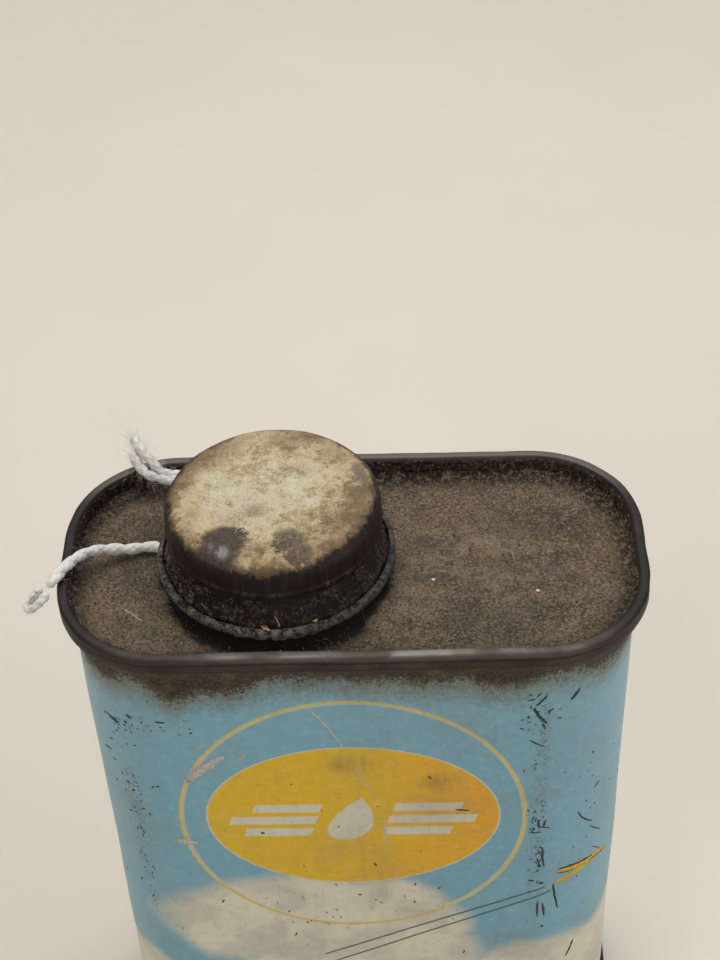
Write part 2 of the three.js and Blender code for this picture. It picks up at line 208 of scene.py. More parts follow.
class Shader:
    """One procedural material. Lengths in it are millimetres."""

    def __init__(self, name):
        self.material = bpy.data.materials.new(name)
        self.material.use_nodes = True
        self.tree = self.material.node_tree
        self.surface = self.tree.nodes["Principled BSDF"]
        self.surface.inputs["Specular IOR Level"].default_value = 0.32
        texture = self.tree.nodes.new("ShaderNodeTexCoord")
        scale = self.tree.nodes.new("ShaderNodeVectorMath")
        scale.operation = "SCALE"
        self.tree.links.new(texture.outputs["Object"], scale.inputs[0])
        scale.inputs["Scale"].default_value = 1 / MM
        self.place = scale.outputs[0]
        self.x, self.y, self.z = self.split(self.place)

    def feed(self, socket, value):
        if isinstance(value, Num):
            self.tree.links.new(value.socket, socket)
        elif isinstance(value, bpy.types.NodeSocket):
            self.tree.links.new(value, socket)
        elif isinstance(value, tuple) and len(value) == 3 and socket.type == "RGBA":
            socket.default_value = (*value, 1)
        else:
            socket.default_value = value

    def split(self, vector):
        node = self.tree.nodes.new("ShaderNodeSeparateXYZ")
        self.tree.links.new(vector, node.inputs[0])
        return [Num(self, output) for output in node.outputs]

    def joined(self, x, y, z):
        node = self.tree.nodes.new("ShaderNodeCombineXYZ")
        for socket, value in zip(node.inputs, (x, y, z)):
            self.feed(socket, value)
        return node.outputs[0]

    def print_place(self):
        """The place on an unrolled wall: along it from the front's middle, and up it."""
        node = self.tree.nodes.new("ShaderNodeUVMap")
        node.uv_map = "wrap"
        across, up, _ = self.split(node.outputs[0])
        return across / MM, up / MM

    def noise(self, size, detail=3, roughness=0.5, twist=0.0, stretch=(1, 1, 1), where=None, shift=0.0):
        """Cloudy noise, about 0.5 in the middle, whose features are about size millimetres wide."""
        mapping = self.tree.nodes.new("ShaderNodeMapping")
        self.feed(mapping.inputs["Vector"], where or self.place)
        mapping.inputs["Location"].default_value = (shift, shift * 0.7, shift * 1.3)
        mapping.inputs["Scale"].default_value = stretch
        node = self.tree.nodes.new("ShaderNodeTexNoise")
        self.tree.links.new(mapping.outputs[0], node.inputs["Vector"])
        node.inputs["Scale"].default_value = 1 / size
        node.inputs["Detail"].default_value = detail
        node.inputs["Roughness"].default_value = roughness
        node.inputs["Distortion"].default_value = twist
        return Num(self, node.outputs[0])

    def mix(self, share, one, other):
        node = self.tree.nodes.new("ShaderNodeMix")
        node.data_type = "RGBA"
        self.feed(node.inputs[0], share)
        self.feed(node.inputs[6], one)
        self.feed(node.inputs[7], other)
        return node.outputs[2]

    def over(self, base, *coats):
        """A base colour under several (share, colour) coats."""
        for share, colour in coats:
            base = self.mix(share, base, colour)
        return base

    def blob(self, across, up, centre, radii, edge=0.35):
        """1 inside an ellipse and 0 outside it, with an edge as soft as a share of its radius."""
        reach = self.reach(across - centre[0], up - centre[1], radii)
        return reach.soft(1 + edge, 1 - edge)

    def reach(self, across, up, radii=(1.0, 1.0)):
        """How far out a point is, as a multiple of an ellipse's radii, or in millimetres."""
        one, two = across / radii[0], up / radii[1]
        return (one * one + two * two).power(0.5)

    def stroke(self, across, up, start, end, half_width):
        """1 on a straight line between two points, and 0 off it."""
        run, rise = end[0] - start[0], end[1] - start[1]
        length = math.hypot(run, rise)
        run, rise = run / length, rise / length
        along = (across - start[0]) * run + (up - start[1]) * rise
        off = abs((across - start[0]) * rise - (up - start[1]) * run)
        inside = abs(along - length / 2).soft(length / 2 + half_width, length / 2 - half_width)
        return off.soft(half_width * 1.35, half_width * 0.65) * inside

    def bump(self, height, depth):
        """Raises the surface by up to depth millimetres where height is 1."""
        node = self.tree.nodes.new("ShaderNodeBump")
        node.inputs["Strength"].default_value = 1.0
        node.inputs["Distance"].default_value = depth * MM
        self.feed(node.inputs["Height"], height)
        self.feed(self.surface.inputs["Normal"], node.outputs[0])

    def finish(self, colour, roughness, metallic=0.0, coat=0.0):
        self.feed(self.surface.inputs["Base Color"], colour)
        self.feed(self.surface.inputs["Roughness"], roughness)
        self.feed(self.surface.inputs["Metallic"], metallic)
        if coat:
            self.surface.inputs["Coat Weight"].default_value = coat
            self.surface.inputs["Coat Roughness"].default_value = 0.3
        return self.material


# ---- Mesh helpers ----
def add_piece(name, points, faces, body, material, replaces=(), wrap=None, smooth=True):
    """A mesh piece from points in millimetres, riding on a body.
    wrap gives each point's place on the unrolled wall, or round and along a yarn."""
    mesh = bpy.data.meshes.new(name)
    mesh.from_pydata((np.asarray(points) * MM).tolist(), [], [list(map(int, f)) for f in faces])
    mesh.validate()
    if wrap is not None:
        places = mesh.uv_layers.new(name="wrap")
        corner_points = np.empty(len(mesh.loops), int)
        mesh.loops.foreach_get("vertex_index", corner_points)
        places.data.foreach_set("uv", (np.asarray(wrap)[corner_points] * MM).ravel())
    mesh.polygons.foreach_set("use_smooth", [smooth] * len(mesh.polygons))
    mesh.materials.append(material)
    piece = bpy.data.objects.new(name, mesh)
    bpy.context.scene.collection.objects.link(piece)
    face_out(mesh)
    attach(piece, body)
    if replaces:
        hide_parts(*replaces)
    return piece


def face_out(mesh):
    """Turns a closed mesh's faces outwards."""
    work = bmesh.new()
    work.from_mesh(mesh)
    bmesh.ops.recalc_face_normals(work, faces=work.faces)
    work.to_mesh(mesh)
    work.free()


def merge(*parts):
    """Several (points, faces) shells as one."""
    points, faces, start = [], [], 0
    for part_points, part_faces in parts:
        points.append(np.asarray(part_points, float))
        faces += [[index + start for index in face] for face in part_faces]
        start += len(part_points)
    return np.vstack(points), faces


def bent_line(corners, steps=6):
    """A sheet's middle line through [across, up, bend radius] corners, each bend an arc."""
    line = []
    for index, (x, y, radius) in enumerate(corners):
        here = np.array([x, y], float)
        if not radius:
            line.append(here)
            continue
        before = np.array(corners[index - 1][:2]) - here
        after = np.array(corners[index + 1][:2]) - here
        before, after = before / np.linalg.norm(before), after / np.linalg.norm(after)
        half = math.acos(np.clip(before @ after, -1, 1)) / 2
        toward = before + after
        centre = here + toward / np.linalg.norm(toward) * radius / math.sin(half)
        start = here + before * radius / math.tan(half) - centre
        end = here + after * radius / math.tan(half) - centre
        turn = math.atan2(start[0] * end[1] - start[1] * end[0], start @ end)
        for angle in np.linspace(0, turn, steps + 1):
            c, s = math.cos(angle), math.sin(angle)
            line.append(centre + np.array([c * start[0] - s * start[1], s * start[0] + c * start[1]]))
    kept = [line[0]]
    for point in line[1:]:
        if np.linalg.norm(point - kept[-1]) > 1e-6:
            kept.append(point)
    return np.array(kept)


def divided(line, longest):
    """The line with its long stretches cut into equal steps no longer than longest."""
    points = [line[0]]
    for one, two in zip(line[:-1], line[1:]):
        count = max(1, math.ceil(np.linalg.norm(two - one) / longest))
        points += [one + (two - one) * k / count for k in range(1, count + 1)]
    return np.array(points)


def sheet_outline(line, thickness):
    """The closed outline of a sheet of even thickness about its middle line."""
    direction = np.diff(line, axis=0)
    direction /= np.linalg.norm(direction, axis=1)[:, None]
    normal = np.stack([-direction[:, 1], direction[:, 0]], 1)
    one = np.vstack([normal[:1], normal])
    two = np.vstack([normal, normal[-1:]])
    mitre = (one + two) * (thickness / 2 / (1 + (one * two).sum(1)))[:, None]
    return np.vstack([line + mitre, (line - mitre)[::-1]])


def ring_faces(rings, count, closed=True):
    """Quads over rings of points that all follow one outline, capped where they don't close."""
    faces = []
    last = rings if closed else rings - 1
    for ring in range(last):
        here, there = ring * count, (ring + 1) % rings * count
        for k in range(count):
            n = (k + 1) % count
            faces.append([here + k, there + k, there + n, here + n])
    if not closed:
        half = count // 2
        for start in (0, (rings - 1) * count):
            faces += [[start + k, start + k + 1, start + count - 2 - k, start + count - 1 - k]
                      for k in range(half - 1)]
    return faces


def stations(corner_steps=20, straight_step=2.0, first=None, last=None):
    """Places round the can: a corner centre and a direction, starting on the right-hand side.
    first and last, if given, are the heights along Y where an open run starts and stops."""
    far_x, far_y = HALF_X - CORNER_RADIUS, HALF_Y - CORNER_RADIUS
    centres = [(far_x, far_y), (-far_x, far_y), (-far_x, -far_y), (far_x, -far_y)]
    found = []
    if first is not None:
        found += [(far_x, y, 0.0) for y in np.arange(first, far_y, straight_step)]
    for quarter, (x, y) in enumerate(centres):
        turn = math.pi / 2 * quarter
        found += [(x, y, turn + math.pi / 2 * k / corner_steps) for k in range(corner_steps + 1)]
        nx, ny = centres[(quarter + 1) % 4]
        if quarter == 3:
            ny = far_y if last is None else last
        count = max(1, round(math.hypot(nx - x, ny - y) / straight_step))
        end = turn + math.pi / 2
        found += [(x + (nx - x) * k / count, y + (ny - y) * k / count, end) for k in range(1, count)]
    if last is not None:
        found.append((far_x, last, 2 * math.pi))
    return np.array(found)


def station_points(places, outside):
    """The plan points at every station that lie outside the seam's face by some distance."""
    reach = CORNER_RADIUS + outside
    return np.stack([places[:, 0] + reach * np.cos(places[:, 2]),
                     places[:, 1] + reach * np.sin(places[:, 2])], 1)


def sweep(outline, places, closed=True):
    """An outline of [outside, height] points swept past the stations."""
    rings = []
    for outside, height in outline:
        plan = station_points(places, outside)
        rings.append(np.column_stack([plan, np.full(len(plan), height)]))
    points = np.stack(rings, 1).reshape(-1, 3)
    return points, ring_faces(len(places), len(outline), closed)


def revolve(outline, steps=160, axis_x=0.0):
    """An outline of [radius, height] points turned about the cap's axis. It is a closed loop off
    the axis, or runs from the axis back to the axis."""
    outline = np.asarray(outline, float)
    on_axis = outline[0, 0] < 1e-6
    body = outline[1:-1] if on_axis else outline
    angles = np.linspace(0, 2 * math.pi, steps, endpoint=False)
    points = np.stack([
        axis_x + body[None, :, 0] * np.cos(angles)[:, None],
        body[None, :, 0] * np.sin(angles)[:, None],
        np.repeat(body[None, :, 1], steps, 0)], 2).reshape(-1, 3)
    count = len(body)
    faces = ring_faces(steps, count)
    if on_axis:
        faces = [face for index, face in enumerate(faces) if (index + 1) % count]
        first, second = len(points), len(points) + 1
        ends = [[axis_x, 0, outline[0, 1]], [axis_x, 0, outline[-1, 1]]]
        points = np.vstack([points, ends])
        for ring in range(steps):
            here, there = ring * count, (ring + 1) % steps * count
            faces.append([first, here, there])
            faces.append([second, there + count - 1, here + count - 1])
    return points, faces


def waves(points, size, seed, count=10):
    """Smooth random swells between about -1 and 1, roughly size millimetres apart."""
    local = np.random.default_rng(seed)
    direction = local.normal(size=(count, 3))
    direction /= np.linalg.norm(direction, axis=1)[:, None]
    pace = 2 * math.pi / size * local.uniform(0.6, 1.4, count)
    phase = local.uniform(0, 2 * math.pi, count)
    swell = np.sin(np.asarray(points) @ (direction * pace[:, None]).T + phase)
    return swell.sum(1) / math.sqrt(count)


def warp(points):
    """The gentle unevenness that the wall, both ends and both seams share."""
    points = np.array(points, float)
    flat = np.array([1.0, 1.0, 0.0])
    middle = points * flat
    outward = middle / np.maximum(np.linalg.norm(middle / [HALF_X, HALF_Y, 1], axis=1), 0.2)[:, None]
    outward /= np.maximum(np.linalg.norm(outward, axis=1), 1e-6)[:, None]
    near_edge = np.clip((np.abs(points[:, :2]) / [HALF_X, HALF_Y]).max(1) * 2 - 1, 0, 1)[:, None]
    push = 0.1 * waves(points, 46, 3) + 0.05 * waves(points, 19, 5)
    points += outward * (push[:, None] * near_edge)
    points[:, 2] += 0.06 * waves(points * flat, 38, 8) * near_edge[:, 0]
    return points


# ---- The string ----
def string_route():
    """From behind the neck, right round its far side to the left, then out over the left rim."""
    route = [
        [-33.2, 18.9, TOP + 0.1],
        [-28.5, 18.5, TOP - 0.9],
        [-23.5, 18.1, TOP - 2.1],
        [-18, 17.5, STRING_HEIGHT],
    ]
    for angle in range(85, -166, -15):
        turn = math.radians(angle)
        route.append([NECK_X + STRING_RADIUS * math.cos(turn), STRING_RADIUS * math.sin(turn), STRING_HEIGHT])
    route += [
        [-30.1, -0.2, STRING_HEIGHT],
        [-31.4, 2.7, STRING_HEIGHT],
        [-34.2, 3.9, STRING_HEIGHT],
        [-37.8, 3.1, TOP - 1.9],
        [-41.4, 2.2, TOP - 1.1],
        [-44.8, 0.1, TOP + 0.3],
        [-47.2, -3.2, TOP + 1.15],
        [-48.9, -6.2, TOP + 1.2],
        [-50.3, -8.2, TOP + 0.6],
    ]
    return np.array(route)


END_LOOP_ROUTE = np.array([
    [-50.15, -9.05, TOP + 0.2],
    [-51.4, -10.2, TOP - 0.8],
    [-52.9, -10.7, TOP - 1.9],
    [-53.9, -9.9, TOP - 2.6],
    [-53.6, -8.6, TOP - 2.3],
    [-52.4, -8, TOP - 1.1],
    [-51.45, -7.75, TOP - 0.1],
])

BACK_END_ROUTES = [
    np.array([
        [-33.9, 18.4, TOP + 0.3],
        [-36.2, 19, TOP + 0.9],
        [-38, 21.1, TOP + 1.3],
        [-39.2, 23.6, TOP + 2.3],
    ]),
    np.array([
        [-33.7, 19.8, TOP + 0.6],
        [-35.8, 21.4, TOP + 2],
        [-37.7, 23.5, TOP + 3.1],
        [-39.2, 25.8, TOP + 4],
    ]),
]


# Where each back end comes out of the doubled string, so that no gap shows there.
BACK_END_ROOTS = [
    np.array([[-27.6, 17.9, TOP - 1.3], [-30.8, 18.0, TOP - 0.4]]),
    np.array([[-27.4, 18.9, TOP - 0.8], [-30.8, 19.5, TOP + 0.1]]),
]
# Unlaid yarn fluffs up to more than the CAD tube's diameter.
LOOSE_YARN = 1.45
BACK_YARN = LOOSE_YARN * 1.12
# The length of one full turn of the plies.
STRING_LAY = 6.2
LOOP_LAY = 2.8
BACK_LAY = 4.4
PLIES = 2


def smooth_route(route, step):
    """A Catmull-Rom curve through the points, cut into even steps."""
    padded = np.vstack([2 * route[0] - route[1], route, 2 * route[-1] - route[-2]])
    fine = []
    for k in range(len(route) - 1):
        a, b, c, d = padded[k:k + 4]
        for t in np.linspace(0, 1, 24, endpoint=False):
            fine.append(0.5 * (2 * b + (c - a) * t + (2 * a - 5 * b + 4 * c - d) * t * t
                               + (3 * b - a - 3 * c + d) * t ** 3))
    fine = np.vstack([fine, route[-1:]])
    along = np.concatenate([[0], np.cumsum(np.linalg.norm(np.diff(fine, axis=0), axis=1))])
    at = np.linspace(0, along[-1], max(2, round(along[-1] / step)) + 1)
    return np.stack([np.interp(at, along, fine[:, k]) for k in range(3)], 1)


def line_frames(line):
    """Two directions across a line at each of its points, carried along it without twist."""
    tangent = np.gradient(line, axis=0)
    tangent /= np.linalg.norm(tangent, axis=1)[:, None]
    side = np.cross(tangent[0], [0, 0, 1.0])
    if np.linalg.norm(side) < 0.1:
        side = np.cross(tangent[0], [1.0, 0, 0])
    sides = []
    for t in tangent:
        side = side - t * (side @ t)
        side = side / np.linalg.norm(side)
        sides.append(side)
    sides = np.array(sides)
    return sides, np.cross(tangent, sides)


def laid_strand(line, diameter, pitch, around, fray=0.0, seed=1):
    """A strand of twisted plies as a tube whose section is lobed and turns along it."""
    sides, ups = line_frames(line)
    step = np.linalg.norm(line[1] - line[0])
    along = np.arange(len(line)) * step
    theta = np.linspace(0, 2 * math.pi, around, endpoint=False)
    turned = theta[None, :] - 2 * math.pi * along[:, None] / pitch
    lobe = np.abs(np.cos(turned * PLIES / 2))
    radius = diameter / 2 * (0.66 + 0.36 * lobe ** 0.8)
    local = np.random.default_rng(seed)
    swell = 1 + 0.05 * np.sin(along / 1.7 + local.uniform(0, 6)) + 0.04 * np.sin(along / 0.6)
    radius = radius * swell[:, None] * (1 + 0.05 * np.sin(turned * 9 + along[:, None] * 3))
    left = along[-1] - along
    tip = np.sqrt(np.clip(np.minimum(along, left) / (diameter * 0.45), 0.02, 1))
    radius *= tip[:, None] * (1 + fray * np.clip(along / along[-1], 0, 1) ** 2)[:, None]
    out = (sides[:, None, :] * np.cos(theta)[None, :, None] + ups[:, None, :] * np.sin(theta)[None, :, None])
    points = (line[:, None, :] + out * radius[:, :, None]).reshape(-1, 3)
    faces = ring_faces(len(line), around, closed=False)
    lay = np.stack([np.tile(theta / (2 * math.pi), len(line)), np.repeat(along, around)], 1)
    return points, faces, lay


def fibre(line, radius):
    """One thin fibre as a tapered three-sided tube."""
    sides, ups = line_frames(line)
    theta = np.arange(3) * 2 * math.pi / 3
    taper = radius * np.linspace(1, 0.45, len(line))
    out = sides[:, None, :] * np.cos(theta)[None, :, None] + ups[:, None, :] * np.sin(theta)[None, :, None]
    points = (line[:, None, :] + out * taper[:, None, None]).reshape(-1, 3)
    faces = [[k * 3 + j, (k + 1) * 3 + j, (k + 1) * 3 + (j + 1) % 3, k * 3 + (j + 1) % 3]
             for k in range(len(line) - 1) for j in range(3)]
    last = (len(line) - 1) * 3
    return points, faces + [[0, 1, 2], [last + 2, last + 1, last]]


def fuzz(line, count, reach, diameter, radius, along_share=0.6, start=0.0):
    """Loose fibres that stand off a strand."""
    sides, ups = line_frames(line)
    tangent = np.gradient(line, axis=0)
    tangent /= np.linalg.norm(tangent, axis=1)[:, None]
    parts = []
    for _ in range(count):
        at = int(rng.uniform(start, 1) * (len(line) - 1))
        angle = rng.uniform(0, 2 * math.pi)
        out = sides[at] * math.cos(angle) + ups[at] * math.sin(angle)
        lean = tangent[at] * rng.normal(0, along_share) + rng.normal(size=3) * 0.35
        length = reach * rng.uniform(0.4, 1.2)
        curl = rng.normal(size=3) * 0.35
        t = np.linspace(0, 1, 5)[:, None]
        root = line[at] + out * diameter * 0.4
        parts.append(fibre(root + (out * 0.8 + lean) * t * length + curl * t * t * length, radius))
    return merge(*parts)


def cotton(dirt):
    """Off-white cotton: fine twisted fibres, soft, greyer where it has been handled, and near black under the
    cap's hem, which is painted shade.
    """
    shader = Shader(f"cotton_{dirt}")
    across, along = shader.print_place()
    stripes = (across * 26 + along * 3.4).math("SINE") * 0.5 + 0.5
    fluff = shader.noise(0.35, 4, 0.7)
    patches = shader.noise(4.5, 2)
    grime = patches.soft(0.5, 0.8) * dirt
    colour = shader.mix(stripes * 0.35 + fluff * 0.5, (0.62, 0.605, 0.56), (0.88, 0.87, 0.84))
    colour = shader.mix(grime, colour, (0.46, 0.42, 0.34))
    # Painted shade: the string turns near black where it runs under the cap's hem.
    under_hem_shade = shader.reach(shader.x - NECK_X, shader.y).soft(20.0, 18.6)
    colour = shader.mix(under_hem_shade, colour, (0.03, 0.022, 0.016))
    shader.bump(stripes * 0.6 + fluff, 0.12)
    shader.surface.inputs["Sheen Weight"].default_value = 0.35
    shader.surface.inputs["Subsurface Weight"].default_value = 0.12
    shader.surface.inputs["Subsurface Radius"].default_value = (0.0006, 0.0005, 0.0004)
    return shader.finish(colour, 0.95)


def add_string():
    """The laid string, its looped end over the left rim, its two ends behind, and their fuzz."""
    material = cotton(0.35)
    line = smooth_route(string_route(), 0.16)
    points, faces, lay = laid_strand(line, STRING_DIAMETER, STRING_LAY, around=24)
    string = add_piece("string_laid", points, faces, "can", material, ["string"], lay)
    loop_line = smooth_route(END_LOOP_ROUTE, 0.12)
    points, faces, lay = laid_strand(loop_line, LOOSE_YARN, LOOP_LAY, around=16, seed=2)
    loop = add_piece("string_loop", points, faces, "can", material, ["string_end_loop"], lay)
    ends, end_lines = [], []
    for index, route in enumerate(BACK_END_ROUTES, start=1):
        end_line = smooth_route(np.vstack([BACK_END_ROOTS[index - 1], route]), 0.12)
        end_lines.append(end_line)
        points, faces, lay = laid_strand(end_line, BACK_YARN, BACK_LAY, around=18, fray=0.2, seed=2 + index)
        ends.append(add_piece(f"string_end_{index}", points, faces, "can", material,
                              [f"string_back_end_{index}"], lay))
    front = line[len(line) * 3 // 4:]
    parts = [fuzz(front, 170, 0.9, STRING_DIAMETER, 0.018), fuzz(loop_line, 110, 0.9, LOOSE_YARN, 0.018)]
    for end_line in end_lines:
        parts.append(fuzz(end_line, 200, 1.5, LOOSE_YARN, 0.02, 1.2, start=0.3))
        parts.append(fuzz(end_line, 60, 2.6, LOOSE_YARN, 0.016, 1.6, start=0.85))
    points, faces = merge(*parts)
    loose = add_piece("string_fuzz", points, faces, "can", material, wrap=points[:, :2])
    exit_point = [c * MM for c in string_route()[1]]


# ---- The wall's print ----
SKY = (0.150, 0.335, 0.435)
SKY_PALE = (0.215, 0.40, 0.475)
CLOUD = (0.69, 0.63, 0.475)
CLOUD_SHADE = (0.55, 0.53, 0.42)
YELLOW = (0.68, 0.42, 0.005)
ORANGE = (0.71, 0.34, 0.006)
IVORY = (0.60, 0.575, 0.47)
RUST_DARK = (0.009, 0.006, 0.004)
RUST = (0.056, 0.034, 0.017)
HAZE = (0.130, 0.114, 0.066)
LINE_BLUE = (0.030, 0.052, 0.064)
RING_GOLD = (0.60, 0.46, 0.10)
OVAL_EDGE = (0.66, 0.60, 0.40)
BARE_METAL = (0.06, 0.048, 0.038)

WALL_REACH = CORNER_RADIUS + WALL
WALL_ROUND = 2 * math.pi * WALL_REACH + 4 * (HALF_X + HALF_Y - 2 * CORNER_RADIUS)

LABEL_X = -1.35
RING = ((LABEL_X, -44.3), (30.1, 31.2))
OVAL = ((LABEL_X, -43.5), (25.5, 18.85))
EMBLEM_HEIGHT = -44.2
# Two slanted rules that run down from the right under the ring, each from one end to the other.
RULES = [((33, -65), (-8, -85.4)), ((34, -66.5), (-9, -89.2))]
# Each cloud lobe is (centre, radii).
LOBES = [
    ((-13, -74), (24.5, 13.5)), ((3, -76), (15.5, 13.5)), ((-1, -88), (23, 12)),
    ((37, -92), (17, 11)), ((54, -91), (12, 11)), ((-46, -101), (17, 12)),
    ((14, -109), (38, 11)), ((-26, -114), (32, 10)), ((52, -112), (18, 12)),
]


def emblem(across, up):
    """A white oil drop between three slanted speed bars on each side."""
    v = (up - EMBLEM_HEIGHT) * -1.0
    u = (across - LABEL_X) + v * 0.28
    rise = (v + 6.2) / 12.0
    clipped = rise.most(0.0).least(1.0)
    drop_edge = clipped * (1.0 - clipped).power(0.5) * 10.4
    drop = (abs(u) - drop_edge).soft(0.1, -0.3) * abs(rise - 0.5).soft(0.5, 0.47)
    row = (v / 3.3).math("ROUND")
    in_row = abs(v - row * 3.3).soft(1.22, 0.98) * abs(row).soft(1.6, 1.4)
    outer = 21.6 - abs(row) * 3.4
    in_length = abs(u).soft(6.2, 6.5) * (abs(u) - outer).soft(0.15, -0.15)
    return drop.most(in_row * in_length)


def clouds(shader, across, up):
    """Airbrushed clouds: smooth lobes with a soft edge, from the foot to about half way up."""
    drift = shader.noise(13, 1, 0.4, where=shader.joined(across, up, 0.0)) - 0.5
    u = across + drift * 7
    v = up + drift * 5
    cover = shader.blob(u, v, *LOBES[0], edge=0.17)
    for centre, radii in LOBES[1:]:
        cover = cover.most(shader.blob(u, v, centre, radii, edge=0.17))
    return cover


def printed_wall():
    """The litho print, its scratches and stains, and the rust that creeps in from both seams."""
    shader = Shader("litho_print")
    wrap, height = shader.print_place()
    up = height - TOP
    half_round = WALL_ROUND / 2
    across = wrap - (wrap / half_round).math("ROUND") * half_round
    plane = shader.joined(wrap, up, 0.0)

    broad = shader.noise(30, 2, where=plane)
    sky = shader.mix((up + 110) / 110 * 0.35 + broad * 0.7 - 0.2, SKY, SKY_PALE)
    billow = shader.noise(11, 2, 0.5, where=plane)
    cloud = shader.mix(billow.soft(0.35, 0.6), CLOUD_SHADE, CLOUD)
    colour = shader.mix(clouds(shader, across, up) * 0.95, sky, cloud)
    for start, end in RULES:
        colour = shader.mix(shader.stroke(across, up, start, end, 0.22) * 0.88, colour, LINE_BLUE)

    ring_off = (shader.reach(across - RING[0][0], up - RING[0][1], RING[1]) - 1.0) * RING[1][0]
    oval_off = (shader.reach(across - OVAL[0][0], up - OVAL[0][1], OVAL[1]) - 1.0) * OVAL[1][1]
    gold = shader.mix(((across + 5) / 30 + (broad - 0.5) * 0.8).soft(0.1, 1.0), YELLOW, ORANGE)
    colour = shader.over(
        colour,
        (abs(ring_off + 0.2).soft(0.42, 0.24) * 0.5, IVORY),
        (abs(ring_off - 0.06).soft(0.40, 0.28) * 0.88, RING_GOLD),
        (oval_off.soft(0.30, 0.18) * 0.75, OVAL_EDGE),
        (oval_off.soft(0.1, -0.1), gold),
        (emblem(across, up) * 0.95, IVORY))

    colour, wear = worn_print(shader, colour, wrap, up, plane)
    rusty, rust_colour, haze = wall_rust(shader, wrap, up, plane)
    colour = shader.over(colour, (haze, HAZE), (rusty, rust_colour))
    shader.bump((1.0 - wear) * 0.5 * (1.0 - rusty) + rusty * (shader.noise(0.5, 4, 0.7) * 1.3), 0.09)
    roughness = shader.noise(9, 3) * 0.16 + 0.34 + rusty * 0.4 + wear * 0.2
    return shader.finish(colour, roughness, 0.0, coat=0.15)


def worn_print(shader, colour, wrap, up, plane):
    """Dirt film, rubbed corners and pinholes in the print. Gives the colour and where it is worn."""
    film = shader.noise(15, 4, 0.6, shift=3, where=plane)
    drips = shader.noise(2.6, 4, 0.65, stretch=(1, 0.13, 1), where=plane, shift=11)
    smudge = shader.blob(wrap, up, (-1.3, -29), (3.6, 2.0), 0.8)
    smudge = smudge.most(shader.blob(wrap, up, (14, -34), (3, 2), 0.9))

    right_column = abs(abs(wrap) - 30.8).soft(2.6, 0.3) * wrap.soft(-1, 1)
    right_column = right_column * up.soft(-90, -70) * up.soft(-9, -16)
    left_column = abs(wrap + 40).soft(3.0, 0.4) * up.soft(-84, -66) * up.soft(-24, -34)
    column = right_column.most(left_column * 0.9)
    patchy = shader.noise(4.4, 3, 0.6, where=plane, shift=9, stretch=(1, 0.6, 1))
    scuff_grain = shader.noise(0.5, 5, 0.8, 0.5, where=plane, shift=5)
    scuffed = scuff_grain + column * 0.13 * patchy.soft(0.36, 0.6) - 0.02
    scuffed = scuffed.soft(0.60, 0.655) * column.soft(0.0, 0.3)
    scuff_tone = shader.mix(shader.noise(0.8, 3, shift=14).soft(0.4, 0.62), BARE_METAL, (0.26, 0.235, 0.195))
    pinholes = (shader.noise(0.62, 4, 0.7, where=plane, shift=17) + film * 0.06).soft(0.742, 0.768)
    dust = shader.noise(0.4, 3, 0.7, where=plane, shift=27, stretch=(1, 0.6, 1)).soft(0.62, 0.75)
    cloudy = shader.noise(1.6, 4, 0.75, where=plane, shift=33)
    colour = shader.over(
        colour,
        (film.soft(0.42, 0.75) * 0.26, (0.17, 0.17, 0.13)),
        (drips.soft(0.54, 0.74) * 0.14, (0.14, 0.12, 0.09)),
        (smudge * drips.soft(0.3, 0.6) * 0.5, (0.16, 0.11, 0.04)),
        (scuffed * 0.75, scuff_tone),
        (pinholes * 0.85, (0.035, 0.028, 0.022)),
        (dust * 0.3, (0.09, 0.08, 0.065)),
        (cloudy.soft(0.48, 0.68) * 0.16, (0.13, 0.15, 0.13)),
        (cloudy.soft(0.46, 0.30) * 0.14, (0.62, 0.66, 0.60)))
    return colour, pinholes.most(scuffed * 0.6)


def wall_rust(shader, wrap, up, plane):
    """Rust and dirt under the top seam and over the bottom one: its cover, its colour, its haze."""
    broad = shader.noise(9, 3, 0.55, where=plane, shift=2)
    ragged = shader.noise(1.1, 5, 0.75, 0.4, where=plane, shift=4)
    grain = shader.noise(0.38, 4, 0.8, where=plane, shift=44)
    # How far down the rust reaches: deepest at the front left, and deep at the front right too.
    edge = abs(wrap + 24).soft(13, 3) * 3.0 + abs(wrap + 30).soft(5.5, 0.5) * 2.4
    edge = edge + abs(wrap - 25).soft(8, 2) * 2.3 + abs(wrap).soft(36, 42) * 1.9 + 7.7
    edge = edge + abs(wrap - 13).soft(6, 1) * 0.8
    depth = up + edge + (broad - 0.5) * 4.0 + (ragged - 0.5) * 5.2
    top = (depth + (grain - 0.5) * 11).soft(-1.2, 1.5)
    speckled = (grain - 0.5) * 20 + (ragged - 0.5) * 7
    film = (depth + 3.6 + (ragged - 0.5) * 4).soft(-3.2, 3.2) * 0.62
    specks = (depth + 3.2 + speckled).soft(-0.6, 2.2) * 0.75
    haze = film.most(specks * film.soft(0.0, 0.2))
    foot = up + TOP - 5.4 + (broad - 0.5) * -6 + (ragged - 0.5) * 5 + (grain - 0.5) * 5
    tone = shader.noise(0.7, 5, 0.8, where=plane, shift=6)
    olive = shader.noise(3.2, 3, 0.6, where=plane, shift=61) * 0.5 + grain * 0.5
    red = shader.noise(2.4, 3, where=plane, shift=8).soft(0.5, 0.7) * depth.soft(3.5, 0.5)
    colour = shader.over(
        RUST_DARK,
        (tone.soft(0.36, 0.62), RUST),
        (olive.soft(0.51, 0.61) * 0.55, (0.112, 0.086, 0.046)),
        (red * 0.45, (0.075, 0.035, 0.018)))
    return top.most(foot.soft(0.9, -0.9)), colour, haze


